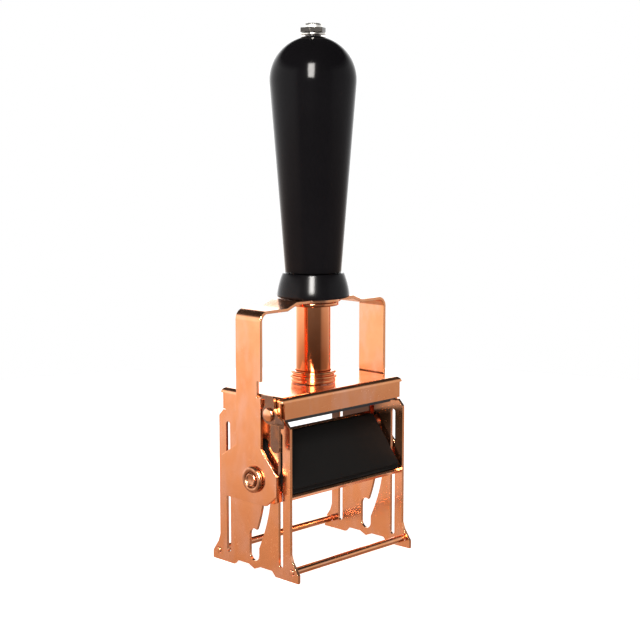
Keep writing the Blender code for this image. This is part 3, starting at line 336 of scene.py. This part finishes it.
def keepPiece(name, bm, material, body, node, sharp=30):
    bmesh.ops.recalc_face_normals(bm, faces=bm.faces)
    mesh = bpy.data.meshes.new(name)
    bm.to_mesh(mesh)
    bm.free()
    mesh.shade_smooth()
    mesh.set_sharp_from_angle(angle=radians(sharp))
    mesh.materials.append(material)
    piece = bpy.data.objects.new(name, mesh)
    bpy.context.scene.collection.objects.link(piece)
    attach(piece, body)
    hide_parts(node)
    return piece


def softenEdges(bm, width, segments=2, angle=30):
    limit = radians(angle)
    sharp = [e for e in bm.edges if len(e.link_faces) == 2 and e.calc_face_angle(0) > limit]
    bmesh.ops.bevel(
        bm, geom=sharp, offset=width, offset_type="OFFSET", affect="EDGES", segments=segments,
        profile=0.5, material=-1, clamp_overlap=True,
    )


def weighNormals(piece):
    # big flat faces stay flat beside their rounded edges
    modifier = piece.modifiers.new("flatFaces", "WEIGHTED_NORMAL")
    modifier.keep_sharp = True
    modifier.weight = 100


def refinedCopy(name, look, material, body):
    # the CAD sheet with its triangles merged and its cut edges broken
    bm = bmesh.new()
    bm.from_mesh(cadNodes[name].data)
    bmesh.ops.remove_doubles(bm, verts=bm.verts, dist=look["weld"])
    bmesh.ops.dissolve_limit(bm, angle_limit=radians(look["flat"]), verts=bm.verts, edges=bm.edges)
    softenEdges(bm, look["edge"], look["segments"])
    pieceName = name.replace("_", "-")
    weighNormals(keepPiece(pieceName, bm, material, body, name, look["sharp"]))


def turnedMesh(profile, steps, edge, segments=3, angle=20):
    # the closed (radius, height) outline of a wall, spun about Z with its corners rounded
    bm = bmesh.new()
    points = [bm.verts.new((radius, 0, height)) for radius, height in profile]
    walls = []
    for i, point in enumerate(points):
        before = points[i - 1]
        if before.co.x > tiny or point.co.x > tiny:
            walls.append(bm.edges.new((before, point)))
    bmesh.ops.spin(
        bm, geom=points + walls, cent=(0, 0, 0), axis=(0, 0, 1), angle=2 * pi, steps=steps,
        use_merge=True,
    )
    bmesh.ops.remove_doubles(bm, verts=bm.verts, dist=tiny)
    bmesh.ops.recalc_face_normals(bm, faces=bm.faces)
    softenEdges(bm, edge, segments, angle)
    return bm


def wallOutline(inner, outer, foot, head):
    return [(inner, foot), (outer, foot), (outer, head), (inner, head)]


# sheet metal and nuts, which keep the frame's own shape

sheetLook = {"weld": 2e-6, "flat": 0.6, "edge": 0.14 * mm, "segments": 2, "sharp": 40}
for name in ("side_plate_left", "side_plate_right"):
    refinedCopy(name, sheetLook, plateCopper, "frame")
refinedCopy("bridge_cover", sheetLook, copper, "frame")
refinedCopy("yoke_strap", dict(sheetLook, edge=0.16 * mm), copper, "yoke")
for name in ("die_carriage", "crank_left", "crank_right"):
    refinedCopy(name, dict(sheetLook, edge=0.1 * mm), copper, "carriage")
refinedCopy("lock_lever", dict(sheetLook, edge=0.1 * mm), leverShadeCopper, "lock")
refinedCopy("pad_tray", dict(sheetLook, edge=0.12 * mm), trayPlastic, "frame")
for name, body in (("rod_nut", "yoke"), ("stud_nut", "frame"), ("stud_washer", "frame")):
    refinedCopy(name, dict(sheetLook, edge=0.12 * mm), nickel, body)
refinedCopy("cap_nut", dict(sheetLook, edge=0.12 * mm), capNickel, "yoke")
print("sheet metal refined")


# guide tube, collar and stud

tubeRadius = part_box("guide_tube")[1].x
tubeSizes = {"wall": 1.0 * mm, "edge": 0.2 * mm, "steps": 96}


def makeGuideTube():
    low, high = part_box("guide_tube")
    outline = wallOutline(high.x - tubeSizes["wall"], high.x, low.z, high.z)
    bm = turnedMesh(outline, tubeSizes["steps"], tubeSizes["edge"])
    keepPiece("guideTube", bm, tubeCopper, "frame", "guide_tube")


collarSizes = {
    "bore": tubeRadius + clearance, "edge": 0.16 * mm, "steps": 96,
    # share of the wall and share of the height, up the outside of three rings and down the bore
    "outline": (
        (0.72, 0.0), (0.80, 0.04), (0.80, 0.26), (0.62, 0.32), (0.62, 0.36), (1.0, 0.42),
        (1.0, 0.60), (0.55, 0.66), (0.50, 0.70), (0.55, 0.74), (0.86, 0.80), (0.86, 0.94),
        (0.70, 1.0), (0.0, 1.0), (0.0, 0.0),
    ),
}


def makeGuideCollar():
    low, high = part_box("guide_collar")
    bore = collarSizes["bore"]
    wall, height = high.x - bore, high.z - low.z
    outline = [(bore + wall * out, low.z + height * up) for out, up in collarSizes["outline"]]
    bm = turnedMesh(outline, collarSizes["steps"], collarSizes["edge"], 2)
    keepPiece("guideCollar", bm, tubeCopper, "frame", "guide_collar")


studSizes = {"plugHeight": 4.9 * mm, "shank": 3.0 * mm, "edge": 0.25 * mm, "steps": 64}


def makeTubeStud():
    low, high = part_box("tube_stud")
    plugFoot, shank = high.z - studSizes["plugHeight"], studSizes["shank"]
    outline = [
        (0, low.z), (shank, low.z), (shank, plugFoot), (high.x, plugFoot),
        (high.x, high.z), (0, high.z),
    ]
    bm = turnedMesh(outline, studSizes["steps"], studSizes["edge"])
    keepPiece("tubeStud", bm, steel, "frame", "tube_stud")


springSizes = {
    "turns": 14, "perTurn": 32, "wire": 0.5 * mm, "sides": 10, "keep": 0.69,
    "closedShare": 0.04,         # of the turns, at each end
    "closedRise": 0.015,         # of the length, shared out evenly over all the turns
}


def makeReturnSpring():
    # a circle swept up the coil by short spins, with both ends wound nearly flat
    low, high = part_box("return_spring")
    wire = springSizes["wire"]
    radius = high.x - wire
    count = springSizes["turns"] * springSizes["perTurn"]
    closed, rise = springSizes["closedShare"], springSizes["closedRise"]
    foot, length = low.z + wire, high.z - low.z - 2 * wire

    def heightAt(share):
        opened = min(max((share - closed) / (1 - 2 * closed), 0), 1)
        return foot + length * ((1 - rise) * opened + rise * share)

    bm = bmesh.new()
    bmesh.ops.create_circle(bm, cap_ends=True, radius=wire, segments=springSizes["sides"])
    place = Matrix.Translation((radius, 0, heightAt(0))) @ Matrix.Rotation(pi / 2, 4, "X")
    bmesh.ops.transform(bm, matrix=place, verts=bm.verts)
    turn = Matrix.Rotation(2 * pi / springSizes["perTurn"], 3, "Z")
    face = bm.faces[:]
    for i in range(count):
        made = bmesh.ops.extrude_face_region(bm, geom=face, use_keep_orig=i == 0)
        moved = [g for g in made["geom"] if isinstance(g, bmesh.types.BMVert)]
        face = [g for g in made["geom"] if isinstance(g, bmesh.types.BMFace)]
        bmesh.ops.rotate(bm, cent=(0, 0, 0), matrix=turn, verts=moved)
        step = heightAt((i + 1) / count) - heightAt(i / count)
        bmesh.ops.translate(bm, vec=(0, 0, step), verts=moved)
    piece = keepPiece("returnSpring", bm, steel, "frame", "return_spring")
    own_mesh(piece)


makeGuideTube()
makeGuideCollar()
makeTubeStud()
makeReturnSpring()
print("guide tube and spring made")


# handle

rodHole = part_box("tie_rod")[1].x + clearance
sleeveSizes = {
    "flangeSheet": 1.4 * mm, "radius": 8.3 * mm, "bore": tubeRadius + clearance, "roof": 3.0 * mm,
    "edge": 0.3 * mm, "steps": 96,
}


def makeSleeve():
    low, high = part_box("handle_sleeve")
    seat, roof = low.z + sleeveSizes["flangeSheet"], high.z - sleeveSizes["roof"]
    radius, bore = sleeveSizes["radius"], sleeveSizes["bore"]
    outline = [
        (bore, low.z), (high.x, low.z), (high.x, seat), (radius, seat), (radius, high.z),
        (rodHole, high.z), (rodHole, roof), (bore, roof),
    ]
    bm = turnedMesh(outline, sleeveSizes["steps"], sleeveSizes["edge"])
    keepPiece("handleSleeve", bm, tubeCopper, "yoke", "handle_sleeve")


ferruleSizes = {
    "head": 12.3 * mm, "bore": sleeveSizes["radius"] + clearance, "edge": 0.45 * mm, "steps": 128,
    "footShare": 0.06, "flare": 1.6, "shares": (0, 0.12, 0.25, 0.4, 0.55, 0.7, 0.85, 1),
}


def makeFerrule():
    # its side rises from a short foot and leans in more and more towards the grip
    low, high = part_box("ferrule")
    head, bore = ferruleSizes["head"], ferruleSizes["bore"]
    foot, height = ferruleSizes["footShare"], high.z - low.z
    side = [
        (high.x + (head - high.x) * share ** ferruleSizes["flare"],
         low.z + height * (foot + (1 - foot) * share))
        for share in ferruleSizes["shares"]
    ]
    outline = [(bore, low.z), (high.x - ferruleSizes["edge"], low.z), *side, (bore, high.z)]
    bm = turnedMesh(outline, ferruleSizes["steps"], ferruleSizes["edge"], 4, 25)
    keepPiece("ferrule-ring", bm, ferruleBlack, "yoke", "ferrule")


gripSizes = {
    "foot": 11.3 * mm, "spigot": 1.6 * mm, "spigotDrop": 0.2 * mm, "ball": 17.25 * mm,
    "bore": sleeveSizes["radius"] + clearance, "boreTop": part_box("handle_sleeve")[1].z + clearance,
    "footRound": 0.6 * mm, "steps": 160, "ballSteps": 40,
}


def makeGrip():
    # a cone that runs without a break into the ball at its head
    low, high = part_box("handle_grip")
    foot, ball, bore, boreTop = (gripSizes[key] for key in ("foot", "ball", "bore", "boreTop"))
    ballZ = high.z - sqrt(ball ** 2 - rodHole ** 2)
    rise = ballZ - low.z
    start = asin(rodHole / ball)
    touch = pi - acos(ball / hypot(rise, foot)) - atan2(foot, rise)
    count = gripSizes["ballSteps"]
    angles = [start + (touch - start) * i / count for i in range(count + 1)]
    crown = [(ball * sin(angle), ballZ + ball * cos(angle)) for angle in angles]
    spigot, spigotFoot = bore + gripSizes["spigot"], low.z - gripSizes["spigotDrop"]
    outline = [
        (bore, spigotFoot), (spigot, spigotFoot), (spigot, low.z), (foot, low.z), *crown[::-1],
        (rodHole, boreTop), (bore, boreTop),
    ]
    bm = turnedMesh(outline, gripSizes["steps"], gripSizes["footRound"], 4, 30)
    keepPiece("handleGrip", bm, gripBlack, "yoke", "handle_grip")


tieRodSizes = {"edge": 0.3 * mm, "steps": 48}


def makeTieRod():
    low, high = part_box("tie_rod")
    outline = wallOutline(0, high.x, low.z, high.z)
    bm = turnedMesh(outline, tieRodSizes["steps"], tieRodSizes["edge"])
    keepPiece("tieRod", bm, steel, "yoke", "tie_rod")


capWasherSizes = {"edge": 0.25 * mm, "steps": 64}


def makeCapWasher():
    low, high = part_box("cap_washer")
    outline = wallOutline(rodHole, high.x, low.z, high.z)
    bm = turnedMesh(outline, capWasherSizes["steps"], capWasherSizes["edge"])
    keepPiece("capWasher", bm, nickel, "yoke", "cap_washer")


makeSleeve()
makeFerrule()
makeGrip()
makeTieRod()
makeCapWasher()
print("handle made")


# pivot screws, rivets, pins and base rods

def alongX(node):
    # the near end, the far end and the radius of a fastener that points outwards along X
    low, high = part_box(node)
    near, far = sorted((abs(low.x), abs(high.x)))
    return near, far, (high.z - low.z) / 2


def keepAlongX(name, bm, side, material, body, node):
    # what was turned about Z is laid along X, pointing outwards
    low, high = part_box(node)
    centre = (low + high) / 2
    place = Matrix.Translation((0, centre.y, centre.z))
    bmesh.ops.transform(bm, matrix=place @ Matrix.Rotation(side * pi / 2, 4, "Y"), verts=bm.verts)
    keepPiece(name, bm, material, body, node)


screwSizes = {
    "head": 2.7 * mm, "shank": 1.8 * mm, "dish": 0.6 * mm, "rim": 0.35 * mm, "dishSteps": 6,
    "edge": 0.1 * mm, "steps": 72,
}
cupSizes = {"sheet": 0.5 * mm, "rollSteps": 12, "rollShape": 0.8, "edge": 0.1 * mm, "steps": 72}


def makePivotScrew(side, label):
    # a dished head, sunk in its cup washer
    node = "pivot_screw_" + label
    end, top, _ = alongX(node)
    head, shank, dish, rim = (screwSizes[key] for key in ("head", "shank", "dish", "rim"))
    seat = alongX("pivot_washer_" + label)[0] + cupSizes["sheet"] + clearance
    angles = [pi / 2 * i / screwSizes["dishSteps"] for i in range(screwSizes["dishSteps"])]
    hollow = [((head - 2 * rim) * cos(angle), top - dish * sin(angle)) for angle in angles]
    outline = [
        (0, end), (shank, end), (shank, seat), (head, seat), (head, top - rim), (head - rim, top),
        *hollow, (0, top - dish),
    ]
    bm = turnedMesh(outline, screwSizes["steps"], screwSizes["edge"], 2, 35)
    keepAlongX("pivotScrew-" + label, bm, side, darkerCopper, "yoke", node)


def makePivotWasher(side, label):
    # pressed sheet, rolled over at its rim like an eyelet
    node = "pivot_washer_" + label
    foot, crest, radius = alongX(node)
    hole, bowl = screwSizes["shank"] + clearance, screwSizes["head"] + clearance
    floor = foot + cupSizes["sheet"]
    half = (radius - bowl) / 2
    angles = [pi * i / cupSizes["rollSteps"] for i in range(cupSizes["rollSteps"] - 1, 0, -1)]
    roll = [
        (bowl + half - half * cos(angle),
         floor + (crest - floor) * sin(angle) ** cupSizes["rollShape"])
        for angle in angles
    ]
    outline = [(hole, foot), (radius, foot), (radius, floor), *roll, (bowl, floor), (hole, floor)]
    bm = turnedMesh(outline, cupSizes["steps"], cupSizes["edge"], 2, 50)
    keepAlongX("pivotWasher-" + label, bm, side, darkerCopper, "yoke", node)


rivetSizes = {
    "shank": 1.3 * mm, "headHeight": 1.1 * mm, "rim": 0.25 * mm, "domeSteps": 8,
    "edge": 0.1 * mm, "flushEdge": 0.15 * mm, "steps": 48,
}


def makeHeadedRivet(node, side):
    end, top, head = alongX(node)
    seat, shank = top - rivetSizes["headHeight"], rivetSizes["shank"]
    rim, rise = seat + rivetSizes["rim"], rivetSizes["headHeight"] - rivetSizes["rim"]
    count = rivetSizes["domeSteps"]
    angles = [pi / 2 * i / count for i in range(count + 1)]
    dome = [(head * cos(angle), rim + rise * sin(angle)) for angle in angles]
    outline = [(0, end), (shank, end), (shank, seat), (head, seat), *dome]
    bm = turnedMesh(outline, rivetSizes["steps"], rivetSizes["edge"], 2, 40)
    keepAlongX(node.replace("_", "-"), bm, side, copper, "frame", node)


def makeFlushRivet(node, side):
    near, far, radius = alongX(node)
    bm = turnedMesh(wallOutline(0, radius, near, far), rivetSizes["steps"], rivetSizes["flushEdge"])
    keepAlongX(node.replace("_", "-"), bm, side, copper, "frame", node)


rodSizes = {
    "spigot": 1.1 * mm, "shoulder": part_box("side_plate_right")[0].x - clearance,
    "edge": 0.2 * mm, "steps": 48,
}


def makeBaseRod(node):
    # a spigot at each end goes through the foot of a side plate
    end, radius = alongX(node)[1:]
    spigot, shoulder = rodSizes["spigot"], rodSizes["shoulder"]
    outline = [
        (0, -end), (spigot, -end), (spigot, -shoulder), (radius, -shoulder),
        (radius, shoulder), (spigot, shoulder), (spigot, end), (0, end),
    ]
    bm = turnedMesh(outline, rodSizes["steps"], rodSizes["edge"])
    keepAlongX(node.replace("_", "-"), bm, 1, copper, "frame", node)


pinSizes = {
    "shank": 1.5 * mm, "headHeight": 0.9 * mm, "flatShare": 0.6, "slope": 0.4 * mm,
    "edge": 0.12 * mm, "steps": 40,
}


def makeCrankPin(side, label):
    # its bevelled head is on the inner side
    node = "crank_pin_" + label
    inner, outer, head = alongX(node)
    neck, shank = inner + pinSizes["headHeight"], pinSizes["shank"]
    outline = [
        (0, inner), (pinSizes["flatShare"] * head, inner), (head, inner + pinSizes["slope"]),
        (head, neck), (shank, neck), (shank, outer), (0, outer),
    ]
    bm = turnedMesh(outline, pinSizes["steps"], pinSizes["edge"], 2)
    keepAlongX("crankPin-" + label, bm, side, copper, "carriage", node)


for side, label in ((-1, "left"), (1, "right")):
    makePivotScrew(side, label)
    makePivotWasher(side, label)
    makeCrankPin(side, label)
    makeFlushRivet("pad_rivet_" + label, side)
makeHeadedRivet("lock_rivet", -1)
makeHeadedRivet("front_rivet_right", 1)
makeBaseRod("base_rod_front")
makeBaseRod("base_rod_rear")
print("fasteners made")


# printing die, its foam cushion and the ink pad

mounts = {mount["name"]: mount for mount in frame["record"]["mounts"]}
faceAxis = mounts["printing_face"]["axis"]
dieTurn = Matrix.Rotation(atan2(-faceAxis[1], faceAxis[2]), 4, "X")


def turnedBox(node):
    # a box's own low and high corners, measured with the die turned back to face up
    back = dieTurn.inverted()
    points = [back @ v.co for v in cadNodes[node].data.vertices]
    low = Vector([min(p[i] for p in points) for i in range(3)])
    high = Vector([max(p[i] for p in points) for i in range(3)])
    return low, high


def blockMesh(low, high):
    bm = bmesh.new()
    bmesh.ops.create_cube(bm, size=1)
    place = Matrix.Translation((low + high) / 2) @ Matrix.Diagonal((*(high - low), 1))
    bmesh.ops.transform(bm, matrix=place, verts=bm.verts)
    return bm


dieSizes = {"backing": 0.75 * mm, "step": 0.45 * mm, "round": 0.18 * mm}


def makeRubberDie():
    # a backing sheet with the printing face standing up from it
    low, high = turnedBox("rubber_die")
    backingTop = low.z + dieSizes["backing"]
    bm = blockMesh(low, Vector((high.x, high.y, backingTop)))
    top = [f for f in bm.faces if f.normal.z > 0.9]
    bmesh.ops.inset_region(bm, faces=top, thickness=dieSizes["step"], use_even_offset=True)
    raised = bmesh.ops.extrude_face_region(bm, geom=top)["geom"]
    corners = [g for g in raised if isinstance(g, bmesh.types.BMVert)]
    bmesh.ops.delete(bm, geom=top, context="FACES")
    bmesh.ops.translate(bm, vec=(0, 0, high.z - backingTop), verts=corners)
    softenEdges(bm, dieSizes["round"], 3)
    bmesh.ops.transform(bm, matrix=dieTurn, verts=bm.verts)
    piece = keepPiece("rubberDie", bm, dieRubber, "carriage", "rubber_die")
    weighNormals(piece)


foamSizes = {"round": 0.3 * mm, "pinch": 0.35 * mm, "cuts": 5}


def makeDieCushion():
    # foam squeezed between the die and its sheet: the sides draw in between the two faces
    low, high = turnedBox("die_cushion")
    bm = blockMesh(low, high)
    upright = [e for e in bm.edges if abs((e.verts[0].co - e.verts[1].co).z) > tiny]
    bmesh.ops.subdivide_edges(bm, edges=upright, cuts=foamSizes["cuts"], use_grid_fill=True)
    middle, half = (low + high) / 2, (high - low) / 2
    for v in bm.verts:
        level = 1 - ((v.co.z - middle.z) / half.z) ** 2
        for axis in (0, 1):
            if abs(v.co[axis] - middle[axis]) > half[axis] - tiny:
                v.co[axis] -= foamSizes["pinch"] * level * (1 if v.co[axis] > middle[axis] else -1)
    softenEdges(bm, foamSizes["round"], 3)
    bmesh.ops.transform(bm, matrix=dieTurn, verts=bm.verts)
    piece = keepPiece("dieCushion", bm, foam, "carriage", "die_cushion")
    weighNormals(piece)


padSizes = {"crown": 0.35 * mm, "round": 0.5 * mm, "cuts": 24, "flatness": 6}


def makeInkPad():
    # felt pad, crowned a little below its tray
    low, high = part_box("ink_pad")
    crown, flatness = padSizes["crown"], padSizes["flatness"]
    bm = blockMesh(Vector((low.x, low.y, low.z + crown)), high)
    under = [e for e in bm.edges if all(v.co.z < low.z + 2 * crown for v in e.verts)]
    bmesh.ops.subdivide_edges(bm, edges=under, cuts=padSizes["cuts"], use_grid_fill=True)
    middle, half = (low + high) / 2, (high - low) / 2
    for v in bm.verts:
        if v.co.z < low.z + 2 * crown:
            across = 1 - abs((v.co.x - middle.x) / half.x) ** flatness
            along = 1 - abs((v.co.y - middle.y) / half.y) ** flatness
            v.co.z -= crown * across * along
    softenEdges(bm, padSizes["round"], 3)
    piece = keepPiece("inkPad", bm, felt, "frame", "ink_pad")


makeRubberDie()
makeDieCushion()
makeInkPad()
print("die and pad made")


# camera

cameraLook = {
    "place": (-0.3873, -0.3864, 0.1709), "tilt": 7.77, "heading": 45.35, "lens": 77.47,
    "sensor": 36.0, "nearest": 0.01,
}


def makeCamera():
    data = bpy.data.cameras.new("camera")
    data.lens = cameraLook["lens"]
    data.sensor_width = cameraLook["sensor"]
    data.clip_start = cameraLook["nearest"]
    camera = bpy.data.objects.new("camera", data)
    camera.location = cameraLook["place"]
    camera.rotation_euler = (radians(90 - cameraLook["tilt"]), 0, -radians(cameraLook["heading"]))
    bpy.context.scene.collection.objects.link(camera)
    bpy.context.scene.camera = camera


# studio

cadMiddle = (cadLow + cadHigh) / 2
studioLook = {
    "floorSize": 0.9, "floorSteps": 96, "floorGap": 0.05 * mm, "floorRough": 0.9,
    "floorColour": (0.9, 0.9, 0.9, 1), "floorGlow": 0.82,
    # brightness by heading, from -Y towards +X: the unlit part is the front of the studio
    "horizon": (
        (-180, 1.7), (-150, 1.5), (-120, 1.45), (-100, 1.35), (-90, 0.9), (-83, 0.22), (-45, 0.18),
        (2, 0.20), (14, 0.55), (35, 0.72), (65, 0.85), (90, 1.1), (115, 1.8), (137, 2.6),
        (157, 2.2), (180, 1.7),
    ),
    "brightest": 3.0, "belowShares": (0.42, 1.05), "belowRange": (-0.30, -0.10),
    "belowTint": (1.0, 0.70, 0.52), "ceiling": 0.03, "ceilingRange": (0.34, 0.52),
    # the softbox is only mirrored: the lamp above it and the fill overhead light the dull pieces
    "boxSize": (0.19, 0.46), "boxPower": 27.0,
    "boxHeight": 29, "boxHeading": -50, "boxDistance": 0.75,
    "lampSize": 0.3, "lampPower": 3.0, "fillSize": 1.2, "fillPower": 4.0,
    "fillPlace": (0.1, 0.3, 1.5), "lightColour": (1.0, 0.97, 0.93),
}


def makeFloor():
    bm = bmesh.new()
    radius, steps = studioLook["floorSize"] / 2, studioLook["floorSteps"]
    bmesh.ops.create_circle(bm, cap_ends=True, radius=radius, segments=steps)
    mesh = bpy.data.meshes.new("studioFloor")
    bm.to_mesh(mesh)
    bm.free()
    material, tree, shader = newMaterial("paleFloor")
    shader.inputs["Base Color"].default_value = studioLook["floorColour"]
    shader.inputs["Roughness"].default_value = studioLook["floorRough"]
    shader.inputs["Emission Color"].default_value = (1, 1, 1, 1)
    shader.inputs["Emission Strength"].default_value = studioLook["floorGlow"]
    mesh.materials.append(material)
    floor = bpy.data.objects.new("studioFloor", mesh)
    floor.location.z = cadLow.z - studioLook["floorGap"]
    floor.visible_glossy = False     # the metal mirrors the studio's walls, down to the floor
    bpy.context.scene.collection.objects.link(floor)


def horizonRamp(tree, heading):
    # a whole turn of headings along a colour ramp
    ramp = addNode(tree, "ValToRGB")
    tree.links.new(rangeOf(tree, heading, 0.0, 1.0, -pi, pi), ramp.inputs["Fac"])
    stops = ramp.color_ramp.elements
    while len(stops) < len(studioLook["horizon"]):
        stops.new(1.0)
    for stop, (degrees, light) in zip(stops, studioLook["horizon"]):
        share = light / studioLook["brightest"]
        stop.position = (degrees + 180) / 360
        stop.color = (share, share, share, 1)
    return ramp.outputs["Color"]


def makeWorld():
    # bright behind and beside the object, dark overhead and in front, and plain white to the camera
    world = bpy.data.worlds.new("studio")
    world.use_nodes = True
    bpy.context.scene.world = world
    tree = world.node_tree
    white, ceiling = (1.0, 1.0, 1.0), (studioLook["ceiling"],) * 3
    coords = addNode(tree, "TexCoord")
    split = addNode(tree, "SeparateXYZ")
    tree.links.new(coords.outputs["Generated"], split.inputs["Vector"])
    east, north, height = split.outputs
    heading = mathOf(tree, "ARCTAN2", east, mathOf(tree, "MULTIPLY", north, -1.0))
    low, high = (studioLook["brightest"] * share for share in studioLook["belowShares"])
    lower = rangeOf(tree, height, low, high, *studioLook["belowRange"])
    around = mathOf(tree, "MULTIPLY", horizonRamp(tree, heading), lower)
    raised = rangeOf(tree, height, 0.0, 1.0, *studioLook["belowRange"])
    warmth = colourMix(tree, raised, studioLook["belowTint"], white)
    level = addNode(tree, "VectorMath", operation="MULTIPLY")
    tree.links.new(around, level.inputs[0])
    tree.links.new(warmth, level.inputs[1])
    above = rangeOf(tree, height, 0.0, 1.0, *studioLook["ceilingRange"])
    colour = colourMix(tree, above, level.outputs["Vector"], ceiling)
    rays = addNode(tree, "LightPath")
    colour = colourMix(tree, rays.outputs["Is Camera Ray"], colour, white)
    tree.links.new(colour, tree.nodes["Background"].inputs["Color"])


def addSoftLight(name, place, size, power, mirrored):
    data = bpy.data.lights.new(name, "AREA")
    data.shape = "RECTANGLE"
    data.size, data.size_y = size
    data.energy = power
    data.color = studioLook["lightColour"]
    light = bpy.data.objects.new(name, data)
    light.location = place
    light.rotation_euler = (place - cadMiddle).to_track_quat("Z", "Y").to_euler()
    light.visible_glossy = mirrored
    light.visible_diffuse = not mirrored
    bpy.context.scene.collection.objects.link(light)


def makeLights():
    heading, height = radians(studioLook["boxHeading"]), radians(studioLook["boxHeight"])
    toBox = Vector((sin(heading) * cos(height), -cos(heading) * cos(height), sin(height)))
    boxPlace = cadMiddle + studioLook["boxDistance"] * toBox
    lamp, fill = studioLook["lampSize"], studioLook["fillSize"]
    lampPlace = boxPlace + Vector((0, 0, lamp))
    fillPlace = cadMiddle + Vector(studioLook["fillPlace"])
    addSoftLight("softbox", boxPlace, studioLook["boxSize"], studioLook["boxPower"], True)
    addSoftLight("lamp", lampPlace, (lamp, lamp), studioLook["lampPower"], False)
    addSoftLight("fillTop", fillPlace, (fill, fill), studioLook["fillPower"], False)


makeCamera()
makeFloor()
makeWorld()
makeLights()
bpy.context.scene.view_settings.view_transform = "Standard"
print("studio made")
